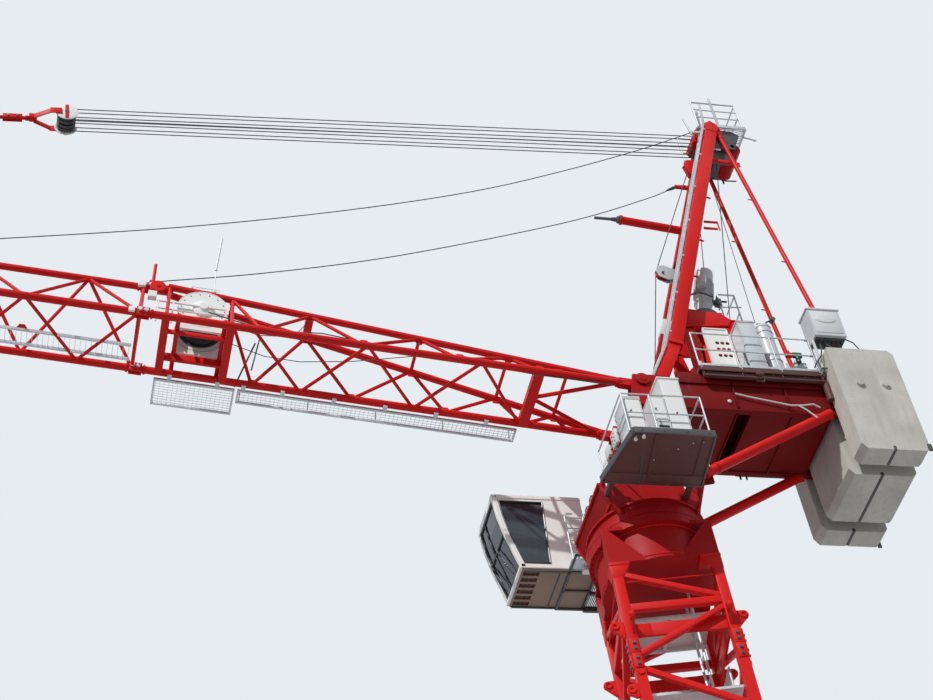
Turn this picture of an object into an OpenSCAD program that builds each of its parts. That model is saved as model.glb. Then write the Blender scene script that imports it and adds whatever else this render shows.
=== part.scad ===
// Luffing-jib tower crane, a 1:2 scale model in millimetres.
// +X runs out along the jib, +Y to the side of the switch cabinets, +Z up.
// The origin is the centre of the underside of the foundation cross.

/* [Foundation and mast] */
// Height of the foundation cross under the mast legs
base_h = 285; // [220:5:360]
// Width of one beam of the foundation cross
base_beam_w = 220; // [180:5:300]
// Reach of each beam of the cross past its mast leg
base_reach = 180; // [150:5:400]
// Distance between mast leg centres
mast_w = 1065; // [1000:5:1150]
// Side of a square mast leg
leg_s = 110; // [90:5:130]
// Side of a mast lacing bar
mast_bar = 60; // [40:2:70]
// Height of one mast section
section_h = 2150; // [1900:10:2400]
// Height of the top mast section that carries the slewing drum
head_h = 1265; // [1100:5:1400]
// Turn of the mast against the jib
mast_turn = -11.25; // [-45:0.25:45]
// Diameter of the anchor holes at the ends of the cross
anchor_d = 48; // [36:2:60]

/* [Slewing ring and turret] */
// Height of the drum under the slewing ring
drum_h = 475; // [400:5:560]
// Radius of the slewing ring
ring_r = 690; // [660:5:720]
// Height of the fixed race and of the turning race
race_h = 72; // [60:1:90]
// Running gap between the two races
race_gap = 6; // [5:0.5:8]
// Width of the turret over its side walls
turret_w = 1000; // [960:5:1040]
// Reach of the turret's front edge
turret_front = 607; // [580:1:640]
// Rear face of the turret
turret_rear = 600; // [560:5:640]

/* [Jib] */
// Luffing angle of the jib in the stored pose
luff = 7.25; // [5:0.25:12]
// Height of the jib pivot above the slewing ring
pivot_z = 2090; // [2040:5:2140]
// Distance of the jib pivot behind the slewing axis
pivot_back = 210; // [180:5:240]
// Distance between the two bottom chord centres
jib_w = 870; // [850:5:880]
// Height of the top chord above the bottom chords
jib_h = 910; // [850:5:960]
// Diameter of a bottom chord
chord_d = 92; // [80:1:100]
// Diameter of the top chord and of its two branches
top_d = 84; // [76:1:90]
// Diameter of a jib lacing tube
lace_d = 42; // [34:1:48]
// Length of the pivot section
pivot_len = 5720; // [5600:10:5900]
// Length of one of those sections
section_len = 2600; // [2400:20:2700]
// Diameter of a jib pivot pin
pin_d = 90; // [80:1:96]
// Radial running clearance of a pin
pin_gap = 0.08; // [0.05:0.01:0.1]

/* [A-frame] */
// Width of a front leg of the A-frame, seen from the side
aleg_w = 230; // [200:5:250]
// Thickness of a front leg of the A-frame
aleg_t = 130; // [110:5:150]
// Distance of the apex behind the slewing axis
apex_back = 2360; // [2250:10:2450]
// Height of the apex above the slewing ring
apex_z = 7370; // [7200:10:7500]
// Half of the distance between the legs at the apex
apex_y = 300; // [290:5:320]
// Diameter of a backstay
stay_d = 88; // [80:1:96]
// Radius of an apex rope sheave
sheave_r = 215; // [200:5:225]

/* [Counter-jib] */
// Depth of a side plate of the counter-jib
girder_h = 1400; // [1300:10:1450]
// Thickness of a side plate of the counter-jib
girder_t = 40; // [34:2:48]
// Distance between the side plate centres
girder_w = 1030; // [1010:2:1040]
// Diameter of the two bars that the slabs hang on
hang_d = 60; // [50:2:70]
// Distance of the rear end of the counter-jib behind the slewing axis
girder_rear = 3420; // [3400:10:3500]
// Diameter of a brace under the counter-jib
brace_d = 120; // [100:2:130]
// Half width of the walking deck
deck_y = 640; // [620:5:680]
// Height of a handrail
rail_h = 550; // [500:5:580]
// Diameter of a handrail tube
rail_d = 20; // [16:1:24]

/* [Counterweights] */
// Length of a concrete slab along the jib
slab_x = 840; // [800:5:860]
// Thickness of a concrete slab
slab_t = 270; // [260:1:280]
// Height of a concrete slab
slab_h = 1630; // [1500:10:1680]

/* [Cab] */
// Length of the cab along its roof
cab_x = 1054; // [1000:1:1100]
// Width of the cab
cab_y = 680; // [640:5:720]
// Height of the cab
cab_z = 1068; // [1040:1:1100]
// Wall thickness of the cab
cab_t = 30; // [24:1:36]

/* [Hidden] */
seat = 0.3;
sections = 6;
rope_d = 13;
rope_r = rope_d / 2 + seat;
sheave_y = [-135, -45, 45, 135];
ring_z = base_h + 3 * section_h + head_h + drum_h + 2 * race_h + race_gap;
pivot = [-pivot_back, 0, ring_z + pivot_z];
apex = [-apex_back, 0, ring_z + apex_z];
deck_z = ring_z + pivot_z + 200;
girder_z = ring_z + pivot_z + 10;

// A straight tube of n sides, or a bar of width w and depth h, from p to q
module tube(p, q, d, n = 8) {
    v = q - p;
    translate(p) rotate([0, acos(v.z / norm(v)), atan2(v.y, v.x)]) cylinder(h = norm(v), d = d, $fn = n);
}
module beam(p, q, w, h) {
    v = q - p;
    translate(p) rotate([0, acos(v.z / norm(v)), atan2(v.y, v.x)])
        translate([-h / 2, -w / 2, 0]) cube([h, w, norm(v)]);
}
module block(low, high) { translate(low) cube(high - low); }
// A plate lying in the XZ plane, centred on y
module side_plate(points, y, t) {
    translate([0, y + t / 2, 0]) rotate([90, 0, 0]) linear_extrude(t) polygon(points);
}
module wheel(x, y, z, r, w) { translate([x, y + w / 2, z]) rotate([90, 0, 0]) cylinder(h = w, r = r, $fn = 48); }
// Both ends of a straight rope that touches a wheel of radius ra at a and one of radius rb at b
function tangent(a, ra, b, rb, s) = let (d = norm(b - a), u = (b - a) / d, k = (ra - rb) / d,
    n = u * k + s * [-u.z, 0, u.x] * sqrt(1 - k * k)) [a + n * ra, b + n * rb];
module rope(ends, y0, y1, d = rope_d) tube(ends[0] + [0, y0, 0], ends[1] + [0, y1, 0], d, 6);
module both() { children(); mirror([0, 1, 0]) children(); }

// Mast
module foundation_cross() color("#7d1414") rotate([0, 0, mast_turn]) difference() {
    union() for (a = [45, 135]) rotate([0, 0, a]) {
        reach = mast_w / sqrt(2) + base_reach;
        block([-reach, -base_beam_w / 2, 0], [reach, base_beam_w / 2, base_h]);
    }
    for (a = [45:90:315]) rotate([0, 0, a]) translate([mast_w / sqrt(2) + base_reach - anchor_d * 1.4, 0, -1])
        cylinder(h = base_h + 2, d = anchor_d, $fn = 32);
}
// One flat side of a section, from z0 up, with its bars crossing from leg to leg
module mast_lattice(z0, h, bays, flip) {
    half = mast_w / 2;
    step = h / bays;
    for (i = [0:bays - 1]) {
        s = (i + flip) % 2 == 0 ? 1 : -1;
        beam([s * half, half, z0 + i * step + mast_bar], [-s * half, half, z0 + (i + 1) * step - mast_bar],
            mast_bar, mast_bar);
    }
    for (i = [0:bays - 1])
        beam([-half, half, z0 + i * step + mast_bar], [half, half, z0 + i * step + mast_bar],
            mast_bar * 0.8, mast_bar);
}
module mast_piece(z0, h, bays, flip) rotate([0, 0, mast_turn]) union() {
    for (a = [0:90:270]) rotate([0, 0, a]) {
        translate([mast_w / 2 - leg_s / 2, mast_w / 2 - leg_s / 2, z0]) cube([leg_s, leg_s, h]);
        mast_lattice(z0, h, bays, flip);
    }
}
module mast_section(i) color("#d3201c") mast_piece(base_h + i * section_h, section_h, 3, (i + 1) % 2);
// The head has its own lacing and a band beam on each side that ends in lifting lugs
module mast_head() color("#d3201c") rotate([0, 0, mast_turn]) difference() {
    z0 = base_h + 3 * section_h;
    half = mast_w / 2;
    reach = half + leg_s / 2 + 115;
    union() for (a = [0:90:270]) rotate([0, 0, a]) {
        translate([half - leg_s / 2, half - leg_s / 2, z0]) cube([leg_s, leg_s, head_h]);
        beam([half, half, z0 + head_h - 60], [-half, half, z0 + 600], mast_bar, mast_bar);
        beam([-half, half, z0 + 505], [half, half, z0 + 60], mast_bar, mast_bar);
        beam([-half, half, z0 + 552], [half, half, z0 + 552], mast_bar, mast_bar);
        side_plate([[-reach, z0 + 262 + (a % 180) * 0.2], [reach, z0 + 262 + (a % 180) * 0.2],
            [reach, z0 + 372 + (a % 180) * 0.2], [-reach, z0 + 372 + (a % 180) * 0.2]], half + leg_s / 2 - 20, 40);
    }
    for (a = [0:90:270]) rotate([0, 0, a]) for (s = [-1, 1])
        wheel(s * (reach - 50), half, z0 + 317 + (a % 180) * 0.2, 22, 2 * leg_s);
}
module slewing_drum() color("#c01a18") {
    z0 = base_h + 3 * section_h + head_h;
    half = (mast_w + leg_s) / 2;
    rotate([0, 0, mast_turn]) union() {
        translate([-half, -half, z0]) cube([2 * half, 2 * half, 40]);
        translate([0, 0, z0]) cylinder(h = drum_h, r = ring_r - 70, $fn = 64);
        for (a = [0:90:270]) rotate([0, 0, a]) for (s = [-1, 1])
            side_plate([[s * half, z0], [s * (half - 420), z0], [s * (half - 60), z0 + drum_h - 30],
                [s * half, z0 + drum_h - 30]], half - 15, 30);
        intersection() {
            translate([-half, -half, z0 + drum_h - 40]) cube([2 * half, 2 * half, 40]);
            translate([0, 0, z0 + drum_h - 40]) cylinder(h = 40, r = half * 1.36, $fn = 64);
        }
        translate([0, 0, z0 + drum_h - 40]) cylinder(h = 40, r = ring_r, $fn = 64);
    }
}
module mast_access() color("#b9bec2") rotate([0, 0, mast_turn]) {
    top = base_h + 3 * section_h + head_h - 60;
    x = -mast_w / 4;
    for (y = [-110, 110]) tube([x, y, base_h + seat], [x, y, top], 30, 8);
    for (z = [base_h + 200:300:top - 60]) tube([x, -95.5, z], [x, 95.5, z], 18, 6);
    reach = mast_w / 2 - leg_s / 2 - seat;
    for (i = [1:3]) difference() {
        z = base_h + i * section_h - 380;
        block([-reach, -reach, z], [reach, reach, z + 30]);
        block([-mast_w / 4 - 200, -220, z - 1], [-mast_w / 4 + 200, 220, z + 31]);
    }
}
module slewing_ring() color("#3a3a3c") {
    z0 = base_h + 3 * section_h + head_h + drum_h;
    translate([0, 0, z0]) cylinder(h = race_h, r = ring_r, $fn = 96);
    translate([0, 0, z0 + race_h]) cylinder(h = race_gap + race_h, r = ring_r * 0.7, $fn = 96);
}

// Turret
module turret() color("#a81613") difference() {
    union() {
        side_plate([[turret_front - 177, ring_z], [turret_front, ring_z + 415], [turret_front - 40, ring_z + 500],
            [180, ring_z + 1300], [-20, ring_z + 1800], [-turret_rear, ring_z + 1800],
            [-turret_rear, ring_z + 530], [-turret_rear + 135, ring_z + 145], [-turret_rear + 170, ring_z]],
            0, turret_w);
        translate([0, 0, ring_z - 1]) cylinder(h = 130, r = ring_r - 50, $fn = 64);
        for (s = [-1, 1]) for (dy = [-62, 62])
            side_plate([[0, ring_z + 1700], [-110, ring_z + pivot_z + 90], [-500, ring_z + pivot_z + 90],
                [-turret_rear, ring_z + pivot_z], [-turret_rear, ring_z + 1700]],
                s * jib_w / 2 + dy + (dy > 0 ? 20 : -20), 40);
        translate([0, 0, ring_z - race_h]) cylinder(h = race_h + 1, r = ring_r, $fn = 96);
    }
    translate([0, 0, ring_z - race_h - 1]) cylinder(h = race_h + 11, r = ring_r * 0.7 + pin_gap, $fn = 96);
    for (x = [-pivot_back, -425]) translate([x, turret_w, ring_z + pivot_z - (x == -425 ? 40 : 0)])
        rotate([90, 0, 0]) cylinder(h = 2 * turret_w, d = pin_d + 0.02, $fn = 48);
}
// Pins of the jib feet and of the A-frame, and the two bars that the slabs hang on
module hinge_pins() color("#55585c") {
    for (s = [-1, 1]) {
        wheel(-pivot_back, s * jib_w / 2, ring_z + pivot_z, pin_d / 2, 230);
        wheel(-425, s * jib_w / 2, ring_z + pivot_z - 40, pin_d / 2, 230);
    }
    for (x = [-2760, -3080]) wheel(x, 0, girder_z - 180, hang_d / 2, 1740);
}
module side_platform() color("#6d2a24") {
    z = ring_z + 330;
    difference() {
        block([-360, turret_w / 2 + seat, z - 60], [570, 1500, z]);
        block([-340, turret_w / 2 + 30, z - 61], [550, 1480, z - 12]);
    }
}
module post_rail(points, h) {
    for (p = points) tube(p, p + [0, 0, h], rail_d, 8);
    for (i = [0:len(points) - 2]) for (k = [0.5, 1])
        tube(points[i] + [0, 0, h * k], points[i + 1] + [0, 0, h * k], rail_d * 0.9, 6);
}
module side_rails() color("#b9bec2") {
    z = ring_z + 330 + seat;
    post_rail([[555, 560, z], [555, 1480, z], [240, 1480, z], [-345, 1480, z], [-345, 560, z]], rail_h);
}
module switch_cabinets() color("#e9e9e4") {
    z = ring_z + 330 + seat;
    block([330, 1120, z], [520, 1440, z + 540]);
    block([-250, 1060, z], [-10, 1300, z + 1000]);
    block([-10 + seat, 1080, z], [150, 1320, z + 700]);
}

// Cab
cab_x0 = 330;
cab_y0 = -turret_w / 2 - 300;
cab_z0 = ring_z + 353;
module cab_profile(inset) {
    x1 = cab_x0 + cab_x;
    offset(delta = -inset) polygon([[cab_x0, cab_z0], [x1 - 199, cab_z0], [x1 - 141, cab_z0 + cab_z * 0.21],
        [x1 - 79, cab_z0 + cab_z * 0.44], [x1 - 28, cab_z0 + cab_z * 0.71], [x1, cab_z0 + cab_z],
        [cab_x0, cab_z0 + cab_z]]);
}
module cab_block(inset, y0, y1) translate([0, y1, 0]) rotate([90, 0, 0])
    linear_extrude(y1 - y0) cab_profile(inset);
module cab_windows() {
    x1 = cab_x0 + cab_x;
    translate([0, cab_y0 + 50, 0]) rotate([90, 0, 0]) linear_extrude(cab_y + 100)
        polygon([[x1 - 535, cab_z0 + 70], [x1 - 234, cab_z0 + 70], [x1 - 190, cab_z0 + cab_z * 0.22],
            [x1 - 130, cab_z0 + cab_z * 0.44], [x1 - 84, cab_z0 + cab_z * 0.7], [x1 - 62, cab_z0 + cab_z - 90],
            [x1 - 585, cab_z0 + cab_z - 90]]);
    block([x1 - 260, cab_y0 - cab_y + 45, cab_z0 + 45], [x1 + 300, cab_y0 - 45, cab_z0 + cab_z - 50]);
}
module cab_shell() color("#ece7da") difference() {
    cab_block(0, cab_y0 - cab_y, cab_y0);
    cab_block(cab_t, cab_y0 - cab_y + cab_t, cab_y0 - cab_t);
    cab_windows();
}
module cab_glass() color("#1b2530") intersection() {
    difference() {
        cab_block(6, cab_y0 - cab_y + 6, cab_y0 - 6);
        cab_block(16, cab_y0 - cab_y + 16, cab_y0 - 16);
    }
    cab_windows();
}
module cab_access() color("#b9bec2") {
    z = cab_z0 - seat;
    block([-60, cab_y0 - cab_y, z - 50], [cab_x0 + 320, -turret_w / 2 - seat, z]);
    post_rail([[-50, -turret_w / 2 - 60, z], [-50, cab_y0 - cab_y + 10, z], [cab_x0 - 40, cab_y0 - cab_y + 10, z]], rail_h);
}

// Counter-jib
module hang_bores() for (x = [-2760, -3080]) wheel(x, 0, girder_z - 180, hang_d / 2 + seat, 2400);
module counter_jib() color("#8e1512") {
    z1 = girder_z;
    z0 = girder_z - girder_h;
    for (s = [-1, 1]) difference() {
        side_plate([[-turret_rear - seat, z0], [-1700, z0 + 25], [-2600, z0 + 500], [-girder_rear, z0 + 900],
            [-girder_rear, z1], [-turret_rear - seat, z1]], s * girder_w / 2, girder_t);
        translate([-1140, 0, z0 + 740]) rotate([0, -36, 0]) cube([110, 2000, 860], center = true);
        hang_bores();
    }
    block([-2440, -girder_w / 2 + girder_t / 2 + seat, z1 - 80], [-turret_rear - seat, girder_w / 2 - girder_t / 2 - seat, z1 - 50]);
    for (x = [-700, -1650]) block([x, -girder_w / 2 + girder_t / 2 + seat, z0 + 30],
        [x + 60, girder_w / 2 - girder_t / 2 - seat, z0 + 160]);
}
module counter_braces() color("#a81613") for (s = [-1, 1]) {
    y = s * (girder_w / 2 + girder_t / 2 + brace_d / 2 + 12);
    front = [-turret_rear + 60, y, ring_z + 560];
    rear = [-2400, y, ring_z + 1480];
    tube(front, rear, brace_d, 12);
    translate(front) rotate([s * 90, 0, 0]) cylinder(h = abs(y) - turret_w / 2 - seat, r = 40, $fn = 24);
    translate(rear) rotate([s * 90, 0, 0]) cylinder(h = brace_d / 2 + 12 - seat, r = 40, $fn = 24);
}
module deck() color("#5b4a47") union() {
    difference() {
        block([-2480, -deck_y, deck_z - 50], [-920, deck_y, deck_z]);
        block([-2460, -deck_y + 20, deck_z - 51], [-940, deck_y - 20, deck_z - 10]);
    }
    for (s = [-1, 1]) block([-2480, s * (girder_w / 2) - 30, girder_z + seat], [-920, s * (girder_w / 2) + 30, deck_z - 5]);
}
module deck_rails() color("#b9bec2") {
    z = deck_z + seat;
    both() post_rail([for (x = [-930, -1430, -1930, -2430]) [x, deck_y - 15, z]], rail_h);
}
module slab() {
    c = 60;
    x1 = -2500;
    z0 = ring_z + 875;
    difference() {
        polygon([[x1 - c, z0], [x1 - slab_x + c, z0], [x1 - slab_x, z0 + c], [x1 - slab_x, z0 + slab_h - 60],
            [x1 - slab_x + 60, z0 + slab_h], [x1, z0 + slab_h], [x1, z0 + c * 1.4]]);
        translate([x1 - slab_x / 2, z0 - 1]) square([40, 56]);
    }
}
module slabs() {
    for (i = [-1:1]) translate([0, i * (slab_t + 0.6) + slab_t / 2, 0]) rotate([90, 0, 0]) linear_extrude(slab_t) slab();
    for (s = [-1, 1]) translate([0, s * (girder_w / 2 + girder_t / 2 + 35 + slab_t / 2) + slab_t / 2, 0])
        rotate([90, 0, 0]) linear_extrude(slab_t) slab();
}
module counterweights() color("#cfcabb") difference() {
    slabs();
    hang_bores();
}
module luffing_winch() color("#a81613") {
    for (s = [-1, 1]) side_plate([[-1080, deck_z + seat], [-1820, deck_z + seat], [-1820, deck_z + 600], [-1500, deck_z + 1350],
        [-1300, deck_z + 1400], [-1180, deck_z + 1300]], s * 240, 30);
    wheel(-1480, 0, deck_z + 640, 200, 450 - 2 * seat);
    block([-1700, -225 + seat, deck_z + 1352], [-1280, 225 - seat, deck_z + 1400]);
}
module winch_drive() color("#d9dcda") {
    translate([-1500, 0, deck_z + 1400 + seat]) cylinder(h = 60, r = 160, $fn = 32);
    translate([-1500, 0, deck_z + 1460]) cylinder(h = 620, r = 105, $fn = 32);
    block([-1750, 255 + seat, deck_z + 400], [-1300, 290, deck_z + 1000]);
}
module deck_machinery() color("#c9cdcb") {
    block([-1840, 330, deck_z + seat], [-1620, 560, deck_z + 880]);
    translate([-2110, 240, deck_z + seat]) cylinder(h = 1080, r = 110, $fn = 32);
    block([-2860, 560, deck_z + 470], [-2452, 800, deck_z + 920]);
    beam([-2468, 580, deck_z + seat], [-2468, 580, deck_z + 900], 30, 30);
}

// A-frame: two bent front legs and two backstays that meet at the apex
leg_foot = [-425, jib_w / 2, ring_z + pivot_z - 40];
leg_knee = [-795, jib_w / 2, ring_z + 2800];
leg_top = [-apex_back, apex_y, ring_z + apex_z];
stay_foot = [-2700, girder_w / 2, girder_z + 60];
module a_frame_leg() difference() {
    union() {
        beam(leg_knee, leg_top, aleg_t, aleg_w);
        beam(leg_foot, leg_knee + (leg_knee - leg_foot) * 0.06, 80, aleg_w * 0.8);
        wheel(leg_foot.x, leg_foot.y, leg_foot.z, 80, 80);
        side_plate([[-apex_back + 130, leg_top.z - 120], [-apex_back + 137, leg_top.z + 29], [-apex_back + 20, leg_top.z + 118],
            [-apex_back - 81, leg_top.z + 10], [-apex_back - 117, leg_top.z - 106]], apex_y, aleg_t - 20);
    }
    translate([leg_foot.x, leg_foot.y + 60, leg_foot.z]) rotate([90, 0, 0])
        cylinder(h = 120, d = pin_d + 2 * pin_gap, $fn = 48);
}
function leg_at(k) = leg_knee + (leg_top - leg_knee) * k;
// The cross ties are welded between the legs, and the fourth one carries the socket of the rear hoist rope
tie_k = [0.12, 0.36, 0.58, 0.785, 0.88];
module a_frame() color("#e0261f") union() {
    both() a_frame_leg();
    for (k = tie_k) beam([leg_at(k).x, -leg_at(k).y, leg_at(k).z], leg_at(k), 90, 90);
    beam([leg_at(0.785).x, 0, leg_at(0.785).z], [socket.x - 60, 0, socket.z], 40, 60);
    for (s = [-1, 1]) beam([socket.x - 90, s * 14, socket.z], [socket.x + 22, s * 14, socket.z], 9, 50);
    wheel(socket.x, 0, socket.z, 12, 44);
    // Head block behind the legs: two plates that the backstays lie against, and two cross bars
    for (s = [-1, 1]) translate([leg_top.x, s * (apex_y - stay_d / 2 - 15 - seat), leg_top.z])
        side_plate([[60, -640], [-175, -640], [-410, -74], [-290, 0], [60, 0]], 0, 30);
    for (p = [[-340, -110], [-165, -595]]) beam([leg_top.x + p.x, -apex_y + stay_d / 2 + 10, leg_top.z + p.y],
        [leg_top.x + p.x, apex_y - stay_d / 2 - 10, leg_top.z + p.y], 60, 60);
}
module backstays() color("#d3201c") both() {
    top = leg_top - [280, 0, 60];
    tube(stay_foot, top, stay_d, 12);
    translate(stay_foot + [-70, -17, -60]) cube([140, 34, 90]);
}
// Sheaves at the apex, and the guide pulley held in front of the second tie
module rope_sheaves() color("#7d1414") {
    for (y = sheave_y) wheel(rope_top.x, y, rope_top.z, sheave_r, 60);
    wheel(rope_top.x, 200, rope_top.z, sheave_r, 40);
    tube(rope_top - [0, 232, 0], rope_top + [0, 232, 0], 60, 16);
    beam([leg_at(0.36).x + 45 + seat, 0, leg_at(0.36).z], guide, 50, 50);
    wheel(guide.x, guide_y, guide.z, guide_r, 30);
    wheel(guide.x, guide_y / 2, guide.z, 20, guide_y + 40);
    wheel(leg_top.x - 240, 0, leg_top.z - 330, 130, 440);
    wheel(leg_top.x - 240, 0, leg_top.z - 330, 30, 451);
}
module apex_platform() color("#b9bec2") {
    z = ring_z + apex_z + 250;
    block([-apex_back - 640, -apex_y - 20, z - 30], [-apex_back + 180, apex_y + 20, z]);
    for (y = [-apex_y, apex_y]) tube([-apex_back + 20, y, leg_top.z + 118 + seat], [-apex_back + 20, y, z - 20], 40, 8);
    post_rail([[-apex_back + 160, -250, z + seat], [-apex_back - 620, -250, z + seat], [-apex_back - 620, 250, z + seat],
        [-apex_back + 160, 250, z + seat]], rail_h);
}
module luff_stop() color("#c01a18") {
    p = leg_at(0.58);
    beam([p.x + 45 + seat, 0, p.z], [p.x + 90, 0, p.z], 80, 70);
    tube([p.x + 70, 0, p.z], [-775, 0, p.z + 45], 96, 12);
    tube([-775, 0, p.z + 45], [-460, 0, p.z + 60], 36, 8);
}
module standing_ropes() color("#4a4d50") {
    to_guide = tangent(rope_top, 30 + rope_r, guide, guide_r + rope_r, 1);
    rope(to_guide, 0, guide_y);
    tube([guide.x + guide_r + rope_r, guide_y, guide.z - 12], [-420, guide_y, ring_z + 1802], rope_d, 6);
    rope(tangent([-1480, 0, deck_z + 640], 200 + rope_r, rope_top, sheave_r + rope_r, 1), 60, 60);
}

// Jib, drawn with its pivot at the origin and then set at its angle
module jib_place() { translate(pivot) rotate([0, -luff, 0]) children(); }
half_y = jib_w / 2;
// Lacing nodes of the pivot section: on the two bottom chords, on the branches and across the bottom
low_x = [640, 1190, 2120, 3230, 4390] * pivot_len / 5720;
high_x = [830, 1530, 2560, 3830, 4730] * pivot_len / 5720;
flat_x = [1240, 1860, 2500, 3180, 3830, 4480] * pivot_len / 5720;
frame_x = [high_x[4], pivot_len - 260];
function side(i) = i % 2 == 0 ? -1 : 1;
function branch(x) = [x, half_y - (half_y - 60) * x / (pivot_len - 240), jib_h * x / (pivot_len - 240)];
module jib_pivot_section() color("#d3201c") jib_place() difference() {
    union() {
        both() {
            tube([200, half_y, 0], [pivot_len, half_y, 0], chord_d, 12);
            tube([160, half_y, 20], [pivot_len - 240, 60, jib_h], top_d, 12);
            wheel(0, half_y, 0, 80, 78);
            beam([40, half_y, 0], [260, half_y, 0], 78, 110);
        }
        tube([pivot_len - 300, 0, jib_h], [pivot_len, 0, jib_h], top_d + 40, 12);
        beam([low_x[1], -half_y, 0], [low_x[1], half_y, 0], 120, 100);
        for (s = [-1, 1]) tube([low_x[1], 0, 0], [260, s * half_y, 0], 50, 8);
        for (x = frame_x) beam([x, -half_y, 0], [x, half_y, 0], 90, 90);
        // Zigzag of the bottom plane, then of the two sides, then the cross tubes between the branches
        for (i = [0:4]) tube([flat_x[i], side(i) * half_y, 0], [flat_x[i + 1], -side(i) * half_y, 0], lace_d, 8);
        both() for (i = [0:4]) {
            tube([low_x[i], half_y, 0], branch(high_x[i]), lace_d, 8);
            if (i < 4) tube(branch(high_x[i]), [low_x[i + 1], half_y, 0], lace_d, 8);
        }
        for (i = [0, 1, 2, 4]) tube([high_x[i], -branch(high_x[i]).y, branch(high_x[i]).z], branch(high_x[i]), lace_d, 8);
        beam([high_x[3], -branch(high_x[3]).y, branch(high_x[3]).z], branch(high_x[3]), 90, 90);
        both() for (x = frame_x) tube([x, half_y, 0], branch(x), lace_d, 8);
    }
    translate([0, jib_w, 0]) rotate([90, 0, 0]) cylinder(h = 2 * jib_w, d = pin_d + 2 * pin_gap, $fn = 48);
}
module jib_section(i) color("#d3201c") jib_place() translate([pivot_len + i * section_len, 0, 0]) union() {
    both() tube([0, half_y, 0], [section_len, half_y, 0], chord_d, 12);
    tube([0, 0, jib_h], [section_len, 0, jib_h], top_d, 12);
    for (x = [40, section_len - 40]) {
        tube([x, -half_y, 0], [x, half_y, 0], lace_d, 8);
        for (s = [-1, 1]) tube([x, s * half_y, 0], [x, 0, jib_h], lace_d, 8);
    }
    for (k = [0:3]) {
        s = k % 2 == 0 ? 1 : -1;
        x0 = 40 + k * (section_len - 80) / 4;
        x1 = 40 + (k + 1) * (section_len - 80) / 4;
        tube([x0, s * half_y, 0], [x1, -s * half_y, 0], lace_d, 8);
        for (t = [-1, 1]) tube(s > 0 ? [x0, t * half_y, 0] : [x1, t * half_y, 0],
            s > 0 ? [x1, 0, jib_h] : [x0, 0, jib_h], lace_d, 8);
    }
}
tip = pivot_len + sections * section_len;
module jib_head() color("#d3201c") jib_place() translate([tip + seat, 0, 0]) union() {
    both() tube([0, half_y, 0], [60, half_y, 0], chord_d, 12);
    both() tube([40, half_y, 0], [500, 150, 0], chord_d, 12);
    tube([0, 0, jib_h], [110, 0, jib_h], top_d, 12);
    both() tube([60, 0, jib_h], [500, 150, 0], top_d, 12);
    beam([500, -230, 0], [500, 230, 0], 100, 100);
    for (s = [-1, 1]) difference() {
        side_plate([[0, jib_h], [260, jib_h - 140], [340, jib_h - 80], [340, jib_h], [220, jib_h + 150],
            [80, jib_h + 150]], s * 55, 30);
        wheel(150 - seat, 0, jib_h + 90, 30.02, 200);
    }
    wheel(150 - seat, 0, jib_h + 90, 30, 150);
    tube([300, -70, jib_h - 40], [300, 172, jib_h - 40], 40, 12);
    wheel(300, 150, jib_h - 40, head_r, 40);
}
// Walkway along the far bottom chord, and the wider mesh platform beside the winch
module walk_frame(x0, x1, y1, step) {
    y0 = -half_y - chord_d / 2 - 8;
    for (y = [y0, y1]) block([x0, y - 12, -78], [x1, y + 12, -50]);
    for (x = [x0:step:x1 - 20]) block([x, y1, -76], [x + 24, y0, -52]);
    block([x1 - 24, y1, -76], [x1, y0, -52]);
    block([x0, y1, -72], [x1, y0, -66]);
    for (x = [x0 + step:2 * step:x1 - 60]) block([x, y0 - 20, -70], [x + 60, -half_y + 30, -chord_d / 2 - seat]);
}
module jib_walkway() color("#b9bec2") jib_place() {
    walk_frame(low_x[1] + 60, pivot_len - 1180, -675, 470);
    walk_frame(pivot_len - 1150, pivot_len - 220, -880, 310);
}
module hoist_winch() color("#2c2c2e") jib_place() {
    wheel(winch.x, 0, winch.z, winch_r, 360 - 2 * seat);
    wheel(turn.x, 95, turn.z, turn_r, 40);
    beam([turn.x, 52, turn.z], [turn.x, 77, turn.z], 50, 50);
    rope(tangent(turn, turn_r + rope_r, winch, winch_r + rope_r, 1), 95, 95);
    for (x = [winch.x - 260, winch.x + 260]) block([x - 25, -half_y + 10, 46 + seat], [x + 25, half_y - 10, 96]);
}
// Round white end shields of the winch on their feet, and the grating over it
module winch_cover() color("#ecebe6") jib_place() {
    for (s = [-1, 1]) {
        wheel(winch.x, s * 195, winch.z, 285, 30);
        side_plate([[winch.x - 290, 96 + seat], [winch.x + 290, 96 + seat], [winch.x + 230, winch.z],
            [winch.x - 230, winch.z]], s * 195, 30);
    }
    block([winch.x - 160, -181, winch.z + 200], [winch.x + 160, 181, winch.z + 230]);
}

// Ropes. The falls and the pendants lie on one line from the apex to the jib head.
function on_jib(p) = pivot + [p.x * cos(luff) - p.z * sin(luff), 0, p.x * sin(luff) + p.z * cos(luff)];
winch = [pivot_len - 660, 0, 450];
winch_r = 190;
turn = [pivot_len - 120, 0, 850];
turn_r = 90;
head_r = 110;
guide = [-1080, 0, leg_at(0.36).z];
guide_r = 80;
guide_y = 110;
socket = [-1725, 0, ring_z + 6395];
head_pin = on_jib([tip + 150, 0, jib_h + 90]);
rope_top = [-apex_back + 110, 0, ring_z + apex_z - 60];
eq = rope_top + (head_pin - rope_top) * 0.368;
module pendants() color("#c01a18") {
    for (y = sheave_y) wheel(eq.x, y, eq.z, 125, 50);
    tube([eq.x, -170, eq.z], [eq.x, 170, eq.z], 60, 16);
    difference() {
        union() {
            tube(eq + [60, 0, 0], head_pin, 60, 10);
            wheel(head_pin.x, 0, head_pin.z, 52, 60);
        }
        wheel(head_pin.x, 0, head_pin.z, 30 + pin_gap, 100);
    }
}
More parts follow.
